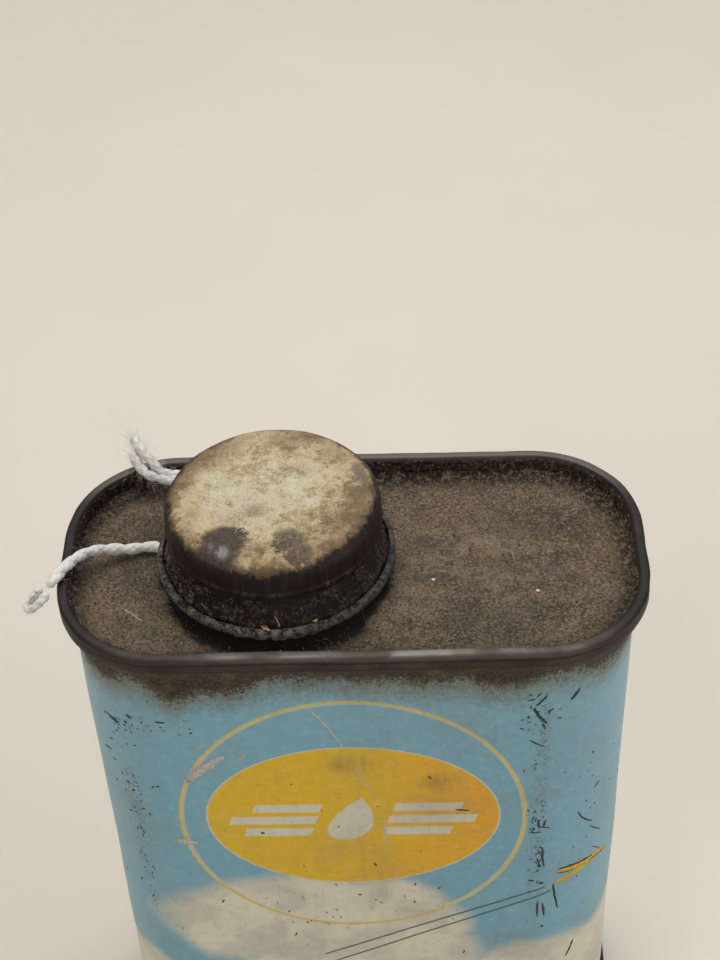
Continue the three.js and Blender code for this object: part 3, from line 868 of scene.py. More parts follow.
def wall_line():
    """The wall's middle line at the top end, as [outside, depth below the seam's edge]."""
    hook_tip = SEAM_HEIGHT - SHEET - LAYER_GAP - HOOK_CLEARANCE
    fold = 1.5 * SHEET + GASKET
    fold_radius = (layer(1) - layer(3)) / 2
    return [
        [layer(1), hook_tip, 0],
        [layer(1), fold, fold_radius],
        [layer(3), fold, fold_radius],
        [layer(3), SEAM_HEIGHT, 1.0],
        [WALL, SEAM_HEIGHT + FLARE_HEIGHT, 2.0],
        [WALL, TOP / 2, 0],
    ]


def wall_wrap(places):
    """How far each station is along the wall from the front's middle, to the right."""
    plan = station_points(places, WALL)
    along = np.concatenate([[0], np.cumsum(np.linalg.norm(np.diff(plan, axis=0), axis=1))])
    front = (plan[:, 1] < 0) & (np.abs(places[:, 2] - 1.5 * math.pi) < 1e-6)
    middle = np.interp(0, plan[front, 0], along[front])
    return along - middle


def add_wall():
    """The wall, folded into both seams, and the tongue that its lap tucks in behind its other edge."""
    half = bent_line(wall_line(), 5)[:-1]
    top = np.column_stack([half[:, 0], TOP - half[:, 1]])
    line = divided(np.vstack([top, half[::-1]]), 3.0)
    outline = sheet_outline(line, SHEET)
    places = stations(first=LAP_INNER_START, last=LAP_OUTER_END)
    points, faces = sweep(outline, places, closed=False)
    wrap = np.column_stack([np.repeat(wall_wrap(places), len(outline)), points[:, 2]])

    tuck = SHEET + LAP_GAP
    foot = SEAM_HEIGHT + 0.2
    tongue_line = divided(line[(line[:, 1] > foot) & (line[:, 1] < TOP - foot)], 3.0)
    far_x = HALF_X - CORNER_RADIUS
    steps = [(LAP_INNER_START + LAP_JOIN, 0.0), (LAP_INNER_START, 0.0), (LAP_INNER_START - LAP_STEP, -tuck),
             (LAP_INNER_END, -tuck)]
    tongue_outline = sheet_outline(tongue_line, SHEET)
    rings = [np.column_stack([far_x + CORNER_RADIUS + tongue_outline[:, 0] + shift - 0.01,
                              np.full(len(tongue_outline), y), tongue_outline[:, 1]]) for y, shift in steps]
    tongue = np.vstack(rings), ring_faces(len(rings), len(tongue_outline), closed=False)
    edge = -wall_wrap(places)[0]
    tongue_wrap = np.column_stack([-edge + LAP_INNER_START - tongue[0][:, 1], tongue[0][:, 2]])

    points, faces = merge((points, faces), tongue)
    add_piece("printed_wall", warp(points), faces, "can", printed_wall(), ["body_wrap"],
              np.vstack([wrap, tongue_wrap]))


# ---- Marks on the wall ----
# Each is (wrap, height below the seam's edge, length, heading in degrees, width, bend in degrees).
DARK_MARKS = [
    (36.0, -13.5, 2.8, 54, 0.55, 30), (30.4, -13.9, 3.3, 55, 0.35, 10), (30.4, -17.0, 4.8, -61, 0.6, 20),
    (31.0, -19.6, 1.8, -66, 0.35, 0), (29.9, -24.1, 3.1, -37, 0.3, 15), (33.5, -18.3, 0.9, -10, 0.25, 0),
    (42.1, -40.9, 1.5, 36, 0.3, 0), (40.1, -47.6, 6.4, -57, 0.32, 38), (42.7, -52.9, 4.8, -51, 0.2, 20),
    (43.4, -59.8, 4.4, -50, 0.18, -12), (31.2, -45.8, 2.6, -88, 0.4, 10), (32.3, -45.6, 2.0, -99, 0.4, 0),
    (31.7, -47.1, 2.6, -20, 0.3, 8), (30.2, -48.7, 2.2, -3, 0.25, 0), (32.3, -55.7, 5.8, -86, 0.42, 10),
    (31.3, -57.3, 3.1, -80, 0.3, -15), (30.0, -62.8, 1.2, -8, 0.45, 0), (31.9, -63.8, 0.9, 0, 0.6, 0),
    (35.0, -68.3, 8.4, -81, 0.42, 6), (31.8, -71.4, 5.2, -89, 0.36, 4), (32.8, -71.8, 4.3, -83, 0.4, -4),
    (32.7, -77.5, 0.7, 0, 0.6, 0), (38.7, -88.0, 4.9, 71, 0.45, 15), (-42.2, -20.0, 3.0, -17, 0.5, 5),
    (-41.6, -20.6, 2.6, -18, 0.3, 0), (-38.2, -17.4, 1.3, -35, 0.6, 0), (-39.0, -19.4, 0.8, -25, 0.5, 0),
    (-32.7, -17.2, 1.8, -8, 0.35, 50), (-45.3, -30.5, 2.1, 14, 0.3, 0), (17.4, -41.8, 2.6, -8, 0.35, 10),
    (12.0, -32.6, 1.1, -50, 0.35, 0), (-17.6, -47.6, 0.8, -10, 0.5, 0), (-1.0, -66.4, 0.7, 0, 0.35, 0),
]
PALE_MARKS = [
    (-5.3, -18.9, 11.8, -61, 0.36, -12), (0.9, -33.0, 8.0, -66, 0.2, 14), (4.4, -47.4, 8.2, -84, 0.3, 8),
    (-26.2, -30.0, 9.6, 44, 2.0, -18), (-27.6, -31.4, 6.6, 50, 1.5, -20), (-20.0, -26.2, 2.4, 33, 0.24, 40),
    (-19.6, -27.4, 2.3, 58, 0.24, -50), (-20.3, -27.0, 2.6, 70, 0.24, 30), (-31.6, -49.8, 4.0, -12, 1.3, 20),
    (-31.0, -48.6, 2.6, 52, 0.3, 0), (-2.4, -62.6, 1.3, 0, 0.2, 120), (19.6, -57.0, 1.4, 30, 0.14, 160),
]
YELLOW_MARKS = [(40.6, -61.9, 12.4, -9, 2.1, -8), (38.2, -63.4, 7.8, 14, 1.4, 6)]
BLACK_MARKS = [
    (38.6, -60.9, 7.6, -6, 0.6, -10), (43.9, -62.4, 5.2, -9, 0.35, 8), (36.4, -61.9, 3.4, -10, 0.25, 0),
]
# Crowds of small marks. Each is (wrap, height, spread along, spread up, how many, longest, heading,
# spread of heading).
CROWDS = [
    (30.6, -46, 1.5, 3.4, 16, 1.5, 85, 35), (31.4, -56, 1.2, 4.5, 16, 1.3, 85, 40),
    (28.2, -20, 1.2, 2.6, 12, 1.1, 70, 60), (30.9, -15, 2.2, 3.0, 14, 1.4, 50, 50),
    (29.6, -31, 1.0, 2.4, 9, 0.8, 60, 60), (38.5, -32, 4.5, 8.0, 12, 0.6, 0, 90),
    (-40.6, -21, 2.6, 3.6, 20, 0.8, -30, 80), (-31, -19, 5.0, 2.0, 12, 0.6, 0, 90),
    (-40.2, -38, 3.4, 7.0, 26, 1.2, 40, 60), (-38.0, -19, 4.0, 3.4, 10, 0.8, 0, 90),
    (-39.8, -60, 1.6, 12, 26, 1.1, 85, 40), (0, -72, 24, 11, 44, 1.3, 88, 45),
    (-2, -46, 26, 20, 22, 0.5, 0, 90), (42, -62, 8, 20, 16, 0.7, 0, 90),
    (70, -60, 14, 40, 40, 1.6, 80, 60), (-70, -60, 14, 40, 40, 1.6, 80, 60),
    (105, -50, 6, 34, 40, 1.5, 85, 45), (130, -60, 30, 38, 60, 1.2, 0, 90),
]
# How low and how high the small marks may lie, so that none crosses a seam.
MARKS_LOW, MARKS_HIGH = -116, -9


def wall_point(places):
    """A function from places on the unrolled wall to points a little outside the wall's face."""
    along = wall_wrap(places)

    def at(across, up, outside):
        plan = station_points(places, WALL + SHEET / 2 + outside)
        x, y = (np.interp(across, along, plan[:, axis]) for axis in (0, 1))
        return np.column_stack([x, y, up])

    return at


def wall_mark(at, mark, lift):
    """A thin scratch that tapers to both ends, with ragged sides."""
    across, up, length, heading, width, bend = mark
    count = max(5, int(length / 0.35))
    t = np.linspace(0, 1, count)
    angle = np.radians(heading + bend * (t - 0.5))
    step = length / (count - 1)
    u = across + np.cumsum(np.cos(angle)) * step - length / 2 * math.cos(math.radians(heading))
    v = TOP + up + np.cumsum(np.sin(angle)) * step - length / 2 * math.sin(math.radians(heading))
    half = width / 2 * (0.12 + np.sqrt(np.clip(4 * t * (1 - t), 0, 1)))
    sides = [half * rng.uniform(0.55, 1.15, count) for _ in range(2)]
    nu, nv = -np.sin(angle), np.cos(angle)
    corners = [(sides[0], lift), (-sides[1], lift), (-sides[1], -0.1), (sides[0], -0.1)]
    ring = np.stack([at(u + nu * side, v + nv * side, outside) for side, outside in corners], 1)
    return ring.reshape(-1, 3), ring_faces(count, 4, closed=False)


def mark_material(name, colour, other, size, roughness):
    shader = Shader(name)
    tone = shader.noise(size, 4, 0.7)
    return shader.finish(shader.mix(tone.soft(0.35, 0.65), colour, other), roughness)


def add_marks():
    """Scratches through the print down to dark metal, pale scrapes, and the print's small streak."""
    at = wall_point(stations(first=LAP_INNER_START, last=LAP_OUTER_END))
    dark = list(DARK_MARKS)
    for across, up, spread_u, spread_v, count, longest, heading, fan in CROWDS:
        for _ in range(count):
            length = longest * rng.uniform(0.25, 1.0) ** 1.6
            width = rng.uniform(0.08, 0.3) * min(1, 0.5 + length)
            dark.append((across + rng.normal() * spread_u * 0.6, up + rng.normal() * spread_v * 0.6, length,
                         heading + rng.uniform(-fan, fan), width, rng.uniform(-60, 60)))
    dark = [mark for mark in dark if MARKS_LOW < mark[1] < MARKS_HIGH]
    # Each kind: its piece, its marks, how far they stand off the wall, and its material's name,
    # two colours, size of mottling and roughness.
    kinds = [
        ("dark_scratches", dark, 0.055, ("bared_metal", (0.018, 0.014, 0.011), BARE_METAL, 0.5, 0.6)),
        ("pale_scrapes", PALE_MARKS, 0.05,
         ("bared_primer", (0.36, 0.34, 0.30), (0.54, 0.52, 0.47), 0.5, 0.7)),
        ("yellow_streak", YELLOW_MARKS, 0.045, ("yellow_print", (0.50, 0.34, 0.05), YELLOW, 1.2, 0.45)),
        ("black_streak", BLACK_MARKS, 0.06,
         ("black_print", (0.02, 0.02, 0.018), (0.06, 0.055, 0.04), 1.0, 0.45)),
    ]
    for name, marks, lift, looks in kinds:
        points, faces = merge(*[wall_mark(at, mark, lift) for mark in marks])
        add_piece(name, warp(points), faces, "can", mark_material(*looks))


# ---- The ends ----
BLACK_GRIME = (0.012, 0.009, 0.007)


def end_line(panel):
    """An end's middle line from the panel over the seam to its hook, [outside, depth]."""
    tip = 2 * SHEET + GASKET + LAYER_GAP + HOOK_CLEARANCE
    low = SEAM_HEIGHT - SHEET / 2
    fold = (layer(0) - layer(2)) / 2
    return bent_line([
        *panel,
        [CHUCK, COUNTERSINK + SHEET / 2, 0.6],
        [CHUCK, SHEET / 2, 0.75],
        [layer(0), SHEET / 2, 0.45],
        [layer(0), low, fold],
        [layer(2), low, fold],
        [layer(2), tip, 0],
    ])


def seam_knocks(points, seam_height):
    """Small nicks and flats along a seam's edge, where it has been knocked."""
    points = points.copy()
    local = np.random.default_rng(int(seam_height) + 9)
    near = np.abs(points[:, 2] - seam_height) < SEAM_HEIGHT + 0.5
    outward = points[:, :2] / np.linalg.norm(points[:, :2] / [HALF_X, HALF_Y], axis=1)[:, None]
    outward /= np.linalg.norm(outward, axis=1)[:, None]
    push = 0.035 * waves(points, 7, 31) + 0.02 * waves(points, 2.6, 33)
    for _ in range(26):
        angle = local.uniform(0, 2 * math.pi)
        at = np.array([HALF_X * math.cos(angle), HALF_Y * math.sin(angle)])
        at /= max(np.abs(at / [HALF_X, HALF_Y]))
        size = local.uniform(0.8, 2.6)
        gone = np.linalg.norm(points[:, :2] - at, axis=1) / size
        push -= local.uniform(0.03, 0.11) * np.exp(-gone * gone)
    points[near, :2] += (outward * push[:, None])[near]
    return points


def plate(outer, hole, low, high):
    """A flat plate between an outer loop and a hole, both with the same count of points."""
    count = len(outer)
    loops = [(outer, low), (outer, high), (hole, high), (hole, low)]
    points = np.vstack([np.column_stack([loop, np.full(count, z)]) for loop, z in loops])
    faces = []
    for ring in range(4):
        here, there = ring * count, (ring + 1) % 4 * count
        for k in range(count):
            n = (k + 1) % count
            faces.append([here + k, here + n, there + n, there + k])
    return points, faces


def rusty_end(name, tone):
    """Tinplate gone dark brown: smooth on the worn seam, rubbed bright along its top with a painted highlight
    on the front's top and the back's inner edge, painted shade on both sides and in two creases, gritty
    inside.
    """
    shader = Shader(name)
    grit = shader.noise(0.45, 5, 0.75)
    mottle = shader.noise(6.5, 4, 0.6)
    fine = shader.noise(1.5, 4, 0.65, shift=8)
    along = shader.noise(2.4, 4, 0.6, stretch=(0.3, 0.3, 1.8), shift=21)
    patchy = shader.noise(9, 3, 0.55, shift=81)
    caked = shader.noise(0.7, 4, 0.8, shift=52)
    # How far in from the nearer end of the can, top or bottom.
    depth = TOP / 2 - abs(shader.z - TOP / 2)
    front = shader.y.soft(-12, -22) * shader.x.soft(-40, -18) * shader.x.soft(44, 30)
    # Painted highlight along the seam's top shoulder at the front.
    shoulder_highlight = depth.soft(1.15, 0.55) * (along.soft(0.3, 0.6) * 0.5 + 0.3) * (front * 0.75 + 0.08)
    # Painted shade: the seam is darker on the left and right sides.
    sides = abs(shader.x).soft(34, 46)
    # Painted shade in two creases on the seam's outer face; the creases are also bumped in.
    crease = abs(depth - 1.3).soft(0.26, 0.05) + abs(depth - 2.95).soft(0.3, 0.08)
    # Painted highlight along the back's top inner edge.
    behind = shader.y.soft(10, 20) * depth.soft(0.2, 0.02) * 0.5
    # Rubbed bright metal along the top edge, strongest at the front, which is partly a painted highlight.
    bright = (along * 0.45 + patchy * 0.7).soft(0.53, 0.70) * depth.soft(0.34, 0.08) * (front * 0.9 + 0.04)
    bright = bright.most(behind)
    inner = wall_distance(shader).soft(-0.55, -0.25) * depth.soft(0.25, 1.0)
    cake = shader.mix(caked.soft(0.47, 0.60), BLACK_GRIME, (0.115, 0.082, 0.050))
    colour = shader.over(
        (0.022 * tone, 0.017 * tone, 0.014 * tone),
        (mottle.soft(0.35, 0.65), (0.046 * tone, 0.037 * tone, 0.030 * tone)),
        ((fine * 0.6 + mottle * 0.5).soft(0.54, 0.66) * 0.5, (0.072, 0.045, 0.029)),
        (shoulder_highlight, (0.115, 0.102, 0.084)),
        (sides * 0.85, (0.010, 0.007, 0.006)),
        (crease * 0.7, (0.011, 0.008, 0.006)),
        (bright * 0.7, (0.215, 0.20, 0.175)),
        (inner * 0.92, cake),
        ((grit * 0.5 + fine * 0.5).soft(0.64, 0.70) * 0.35, (0.15, 0.13, 0.10)))
    roughness = grit * 0.16 + 0.36 + mottle * 0.16 + inner * 0.3 - bright * 0.1
    shader.bump(grit * 0.4 + fine * 0.8 - crease * 1.5 + inner * caked * 5, 0.06)
    shader.surface.inputs["Specular IOR Level"].default_value = 0.22
    return shader.finish(colour, roughness, bright * 0.25 + 0.18 - inner * 0.18)


def add_ends():
    """Both ends: the top one has its panel round the neck, and the bottom one a raised panel."""
    land = CHUCK - 3
    depth = COUNTERSINK + SHEET / 2
    places = stations()
    line = end_line([[land, depth, 0]])
    outline = sheet_outline(np.column_stack([line[:, 0], TOP - line[:, 1]]), SHEET)
    rim = sweep(outline, places)
    outer = station_points(places, land + 0.8)
    angles = np.arctan2(outer[:, 1], outer[:, 0] - NECK_X)
    hole_radius = NECK_RADIUS + 0.1
    hole = np.column_stack([NECK_X + hole_radius * np.cos(angles), hole_radius * np.sin(angles)])
    points, faces = merge(rim, plate(outer, hole, PANEL_TOP - SHEET, PANEL_TOP))
    add_piece("top_end_worn", seam_knocks(warp(points), TOP), faces, "can",
              rusty_end("rusty_rim", 1.0), ["top_end"])

    step = CHUCK - 6
    raised = depth + 0.6
    line = end_line([[step - 9, raised, 0], [step - 0.6, raised, 0.5], [step, depth, 0.5]])
    rim = sweep(sheet_outline(line, SHEET), places)
    outer = station_points(places, step - 8.5)
    tiny = outer * 0.02
    points, faces = merge(rim, plate(outer, tiny, raised - SHEET / 2, raised + SHEET / 2))
    add_piece("bottom_end_worn", seam_knocks(warp(points), 0), faces, "can",
              rusty_end("rusty_foot", 1.6), ["bottom_end"])


# Patches in the panel's dirt, each (centre, radii, how strong), in millimetres on the panel.
DARK_PATCHES = [
    ((13, 5), (4, 1.8), 0.8), ((13.6, -3.6), (4.5, 1.2), 0.8), ((33, 9), (10, 3.5), 0.7),
    ((24, -12), (9, 2.5), 0.3), ((-33, 8), (5, 3), 0.5), ((28, -1), (7, 2), 0.45),
]
PALE_PATCHES = [
    ((21.5, 4.8), (2.2, 1.6), 0.7), ((40.5, -8), (4.2, 1.8), 0.5), ((8.6, 7), (3.0, 6), 0.4),
    ((9.5, -9), (3.0, 4), 0.4),
]
WHITE_SPECKS = [(13.4, -4.1), (30.7, -7.1)]
PANEL_SCRATCH = (-37.9, -9.7), (-34.6, -12.5)


def panel_dirt_material():
    """Caked brown dust and rust, black along the walls, with pale grains and orange specks."""
    shader = Shader("caked_dirt")
    x, y = shader.x, shader.y
    from_wall = wall_distance(shader)
    broad = shader.noise(13, 3, 0.6)
    mottle = shader.noise(3.0, 4, 0.65, shift=5)
    grain = shader.noise(0.55, 4, 0.85, shift=9)
    lumps = shader.noise(1.0, 4, 0.8, shift=25)
    crumby = shader.noise(0.75, 4, 0.75, shift=15)
    soft_x, soft_y = x + (mottle - 0.5) * 9, y + (mottle - 0.5) * 7
    colour = shader.over(
        (0.105, 0.077, 0.047),
        (mottle.soft(0.32, 0.68), (0.205, 0.157, 0.103)),
        (broad.soft(0.46, 0.64) * 0.62, (0.076, 0.060, 0.046)),
        (broad.soft(0.46, 0.30) * 0.5, (0.215, 0.155, 0.088)),
        (grain.soft(0.49, 0.60) * 0.85, (0.030, 0.021, 0.014)),
        (grain.soft(0.46, 0.36) * 0.6, (0.40, 0.31, 0.21)))
    for patches, grainy, tone in (
            (DARK_PATCHES, grain.soft(0.40, 0.52) * 0.4 + 0.5, (0.040, 0.033, 0.028)),
            (PALE_PATCHES, grain.soft(0.56, 0.44) * 0.6 + 0.3, (0.30, 0.235, 0.155))):
        for centre, radii, share in patches:
            patch = shader.blob(soft_x, soft_y, centre, radii, 0.9)
            colour = shader.mix(patch * share * grainy, colour, tone)
    warm = shader.blob(x, y, (39, 10), (20, 16), 0.9)
    specks = (crumby + warm * 0.08).soft(0.645, 0.69)
    dusty = shader.blob(x, y, (22, 1), (13, 7), 0.9) * mottle.soft(0.4, 0.7)
    grime_width = 1.3 + (mottle - 0.5) * 6 + y.soft(6, 16) * 1.7 + x.soft(34, 44) * 0.8
    grime = (from_wall - grime_width + (grain - 0.5) * 7).soft(1.6, -0.8)
    rusty_bank = from_wall.soft(6.5, 2.0) * (x + y * 1.4).soft(14, 34)
    # A near-black ring round the neck: grease, and painted shade under the cap's hem, which reaches further
    # out at the front.
    front_shade_spread = y.soft(-9, -18) * 1.7
    grease_and_hem_shade = shader.reach(x - NECK_X, y) - front_shade_spread + (mottle - 0.5) * 3 + (grain - 0.5) * 5
    scratch = shader.stroke(x, y, *PANEL_SCRATCH, 0.13)
    colour = shader.over(
        colour,
        (specks * (warm * 0.35 + 0.35), (0.34, 0.22, 0.105)),
        (dusty * 0.4, (0.24, 0.205, 0.165)),
        (grime * (lumps.soft(0.58, 0.47) * 0.75 + 0.2), BLACK_GRIME),
        (rusty_bank * lumps.soft(0.52, 0.64) * 0.6, (0.25, 0.165, 0.085)),
        # Painted shade under the cap's hem, over grease.
        (grease_and_hem_shade.soft(20.1, 19.3) * 0.95, (0.008, 0.006, 0.005)),
        (scratch * crumby.soft(0.3, 0.45) * 0.6, (0.5, 0.45, 0.38)))
    for spot in WHITE_SPECKS:
        colour = shader.mix(shader.blob(x, y, spot, (0.3, 0.26), 0.4), colour, (0.75, 0.73, 0.68))
    shader.bump(grain * 0.8 + crumby + rusty_bank * lumps, 0.45)
    return shader.finish(colour, 0.9 - grime * 0.25)


def wall_distance(shader):
    """How far inside the top end's inner wall a place on the panel lies."""
    far_x, far_y = HALF_X - CORNER_RADIUS, HALF_Y - CORNER_RADIUS
    corner_x, corner_y = (abs(shader.x) - far_x).most(0.0), (abs(shader.y) - far_y).most(0.0)
    return CORNER_RADIUS + CHUCK - (corner_x * corner_x + corner_y * corner_y).power(0.5)


def crust(x, y):
    """The crust's height over the panel, its distance from the wall, and from the neck."""
    reach = CORNER_RADIUS + CHUCK - SHEET / 2 + 0.1
    far_x, far_y = HALF_X - CORNER_RADIUS, HALF_Y - CORNER_RADIUS
    out = np.hypot(np.maximum(np.abs(x) - far_x, 0), np.maximum(np.abs(y) - far_y, 0))
    from_wall = reach - out
    from_neck = np.hypot(x - NECK_X, y) - (NECK_RADIUS + BEAD_REACH)
    flat = np.stack([x, y, 0 * x], -1).reshape(-1, 3)
    lumps = 0.5 * waves(flat, 5.5, 51) + 0.5 * waves(flat, 2.1, 52) + 0.35 * waves(flat, 1.05, 53)
    lumps = lumps.reshape(x.shape)
    bank = 0.8 * np.exp(-from_wall / 0.9) + 0.5 * np.exp(-from_neck / 0.8)
    return 0.13 + 0.05 * lumps + bank * (1 + 0.35 * lumps), from_wall, from_neck


def crumbs(centre, size, local):
    """Small eight-sided grains of uneven shape."""
    corners = np.array([[1, 0, 0], [0, 1, 0], [-1, 0, 0], [0, -1, 0], [0, 0, 1], [0, 0, -1]], float)
    shape = corners[None] * local.uniform(0.6, 1.3, (len(size), 6, 1)) * size[:, None, None]
    turn = local.uniform(0, math.pi, len(size))
    cos, sin = np.cos(turn)[:, None], np.sin(turn)[:, None]
    x, y, z = shape[:, :, 0], shape[:, :, 1], shape[:, :, 2]
    turned = np.stack([x * cos - y * sin, x * sin + y * cos, z * 0.8], 2)
    points = (turned + centre[:, None]).reshape(-1, 3)
    sides = [[k, (k + 1) % 4, 4] for k in range(4)] + [[(k + 1) % 4, k, 5] for k in range(4)]
    faces = (np.arange(len(size))[:, None, None] * 6 + np.array(sides)[None]).reshape(-1, 3)
    return points, faces


def add_grit():
    """Loose grains on the crust, thickest along the walls, and crumbs stuck to the inner wall."""
    shader = Shader("loose_grit")
    pick = shader.noise(0.9, 1, 0.5)
    banked = wall_distance(shader).soft(6.0, 1.0) * (shader.x + shader.y).soft(5, 30)
    black = shader.noise(1.7, 2, 0.5, shift=70).soft(0.49, 0.55) * wall_distance(shader).soft(2.4, 0.4)
    colour = shader.over(
        (0.03, 0.022, 0.015),
        (pick.soft(0.46, 0.52), (0.14, 0.105, 0.068)),
        ((pick + banked * 0.10).soft(0.59, 0.67) * 0.85, (0.25, 0.175, 0.098)),
        (black * 0.85, BLACK_GRIME))
    material = shader.finish(colour, 0.85)
    local = np.random.default_rng(77)
    count = 22000
    x = local.uniform(-HALF_X, HALF_X, count)
    y = local.uniform(-HALF_Y, HALF_Y, count)
    height, from_wall, from_neck = crust(x, y)
    kept = (from_wall > 0.25) & (from_neck > 2.2)
    kept &= local.random(count) < 0.42 + 0.58 * np.exp(-from_wall / 2.6) + 0.2 * (x > 25)
    size = (0.07 + 0.17 * local.random(count) ** 3 + 0.1 * np.exp(-from_wall / 1.4))[kept]
    centre = np.column_stack([x, y, PANEL_TOP + height])[kept]

    places = stations()
    stuck = 7000
    share = local.uniform(0, len(places) - 1, stuck)
    low_place = np.floor(share).astype(int)
    wall_plan = station_points(places, CHUCK - SHEET / 2 - 0.05)
    part_way = (share - low_place)[:, None]
    on_wall = wall_plan[low_place] + (wall_plan[low_place + 1] - wall_plan[low_place]) * part_way
    rise = 0.3 + 2.9 * local.random(stuck) ** 1.7
    centre = np.vstack([centre, np.column_stack([on_wall, PANEL_TOP + rise])])
    size = np.concatenate([size, 0.06 + 0.17 * local.random(stuck) ** 2])
    points, faces = crumbs(centre, size, local)
    add_piece("loose_grit", warp(points), faces, "can", material, smooth=False)


def add_panel_dirt():
    """A crust over the sunken panel, banked up against the seam and round the neck."""
    cell = 0.33
    xs = np.arange(-HALF_X, HALF_X, cell)
    ys = np.arange(-HALF_Y, HALF_Y, cell)
    gx, gy = np.meshgrid(xs, ys, indexing="ij")
    height, from_wall, from_neck = crust(gx, gy)
    inside = (from_wall > 0) & (from_neck > 0)
    height = np.clip(height + 0.17 * np.random.default_rng(7).random(gx.shape) ** 5, 0.04, 1.2)
    index = -np.ones(gx.shape, int)
    index[inside] = np.arange(inside.sum())
    tops = np.column_stack([gx[inside], gy[inside], PANEL_TOP + height[inside]])
    lows = np.column_stack([gx[inside], gy[inside], np.full(inside.sum(), PANEL_TOP - SHEET / 2)])
    count = len(tops)
    quads = np.stack([index[:-1, :-1], index[1:, :-1], index[1:, 1:], index[:-1, 1:]], -1).reshape(-1, 4)
    quads = quads[quads.min(1) >= 0]
    edges = {(a, b) for quad in quads.tolist() for a, b in zip(quad, quad[1:] + quad[:1])}
    rim = [(a, b) for a, b in edges if (b, a) not in edges]
    faces = quads.tolist() + (quads[:, ::-1] + count).tolist()
    faces += [[b, a, a + count, b + count] for a, b in sorted(rim)]
    used = sorted({k for face in faces for k in face})
    renumber = {k: n for n, k in enumerate(used)}
    points = warp(np.vstack([tops, lows]))
    add_piece("panel_dirt", points[used], [[renumber[k] for k in face] for face in faces], "can",
              panel_dirt_material())


# ---- The neck ----
def helical_ridge(root_at, crest, start_height, steps_a_turn=72):
    """A rolled thread ridge wound round the cap's axis."""
    steps = round(THREAD_TURNS * steps_a_turn)
    half_section = [(0, 0.75), (0.55, 0.58), (0.9, 0.4), (1, 0.2)]
    section = [(out, -rise) for out, rise in half_section] + half_section[::-1]
    rings = []
    for k in range(steps + 1):
        angle = 2 * math.pi * k / steps_a_turn
        height = start_height + THREAD_PITCH * k / steps_a_turn
        grown = min(1, (min(k, steps - k) + 0.5) / (steps_a_turn / 6))
        ring = []
        for out, rise in section:
            root = root_at(height + rise)
            radius = root + (crest - root) * grown * out
            ring.append([NECK_X + radius * math.cos(angle), radius * math.sin(angle), height + rise])
        rings.append(ring)
    return np.array(rings).reshape(-1, 3), ring_faces(len(rings), len(section), closed=False)


def tinned_neck():
    """Bare tinplate, tarnished, with dirt in the thread."""
    shader = Shader("tarnished_tin")
    patch = shader.noise(3.5, 4, 0.6)
    fine = shader.noise(0.7, 4, 0.7)
    colour = shader.mix(patch.soft(0.35, 0.65), (0.30, 0.285, 0.25), (0.46, 0.45, 0.42))
    colour = shader.mix(fine.soft(0.56, 0.7) * 0.8, colour, (0.10, 0.06, 0.035))
    low = (shader.z + patch * 3).soft(PANEL_TOP + 5.2, PANEL_TOP + 2)
    colour = shader.mix(low * 0.9, colour, (0.02, 0.014, 0.01))
    shader.bump(fine, 0.05)
    return shader.finish(colour, fine * 0.25 + 0.3 + low * 0.3, 0.8 - low * 0.6)


def add_neck():
    """The spout, clinched under the panel, with its bead, thread and inward curl, and its solder."""
    middle = NECK_RADIUS - SHEET / 2
    clinch = PANEL_TOP - SHEET - 0.05 - SHEET / 2
    foot = PANEL_TOP + 0.05 + SHEET / 2
    lip = 0.36
    lip_centre = NECK_TOP - SHEET / 2 - lip
    line = bent_line([
        [middle + 1.4, clinch, 0], [middle, clinch, SHEET], [middle, foot, 0.06],
        [middle + BEAD_REACH, foot, 0.1], [middle + BEAD_REACH, foot + BEAD_HEIGHT, 0.1],
        [middle, foot + BEAD_HEIGHT, 0.06],
        [middle, lip_centre, 0],
    ])
    curl = [[middle - lip + lip * math.cos(a), lip_centre + lip * math.sin(a)]
            for a in np.linspace(0, 1.25 * math.pi, 16)[1:]]
    outline = sheet_outline(np.vstack([line, curl]), SHEET)
    ridge = helical_ridge(lambda height: middle, NECK_RADIUS + THREAD_HEIGHT, THREAD_START + THREAD_PITCH / 2)
    points, faces = merge(revolve(outline, axis_x=NECK_X), ridge)
    add_piece("threaded_neck", points, faces, "can", tinned_neck(), ["neck"])

    inner = NECK_RADIUS + BEAD_REACH + 0.05
    fillet = bent_line([[inner, PANEL_TOP + 0.05, 0], [inner + 0.95, PANEL_TOP + 0.05, 0],
                        [inner + 0.2, PANEL_TOP + 0.14, 0.3], [inner, PANEL_TOP + 0.45, 0]])
    points, faces = revolve(fillet, axis_x=NECK_X)
    out = points[:, :2] - [NECK_X, 0]
    swell = 0.14 * waves(points, 3.2, 61) * (np.linalg.norm(out, axis=1) > inner + 0.05)
    points[:, :2] += out / np.linalg.norm(out, axis=1)[:, None] * swell[:, None]
    add_piece("neck_solder_fillet", points, faces, "can", solder(), ["neck_solder"])


def solder():
    """Dull grey solder."""
    shader = Shader("old_solder")
    patch = shader.noise(1.2, 4, 0.65)
    colour = shader.mix(patch.soft(0.35, 0.65), (0.09, 0.085, 0.078), (0.26, 0.25, 0.235))
    shader.bump(patch, 0.08)
    return shader.finish(colour, patch * 0.3 + 0.35, 0.75)


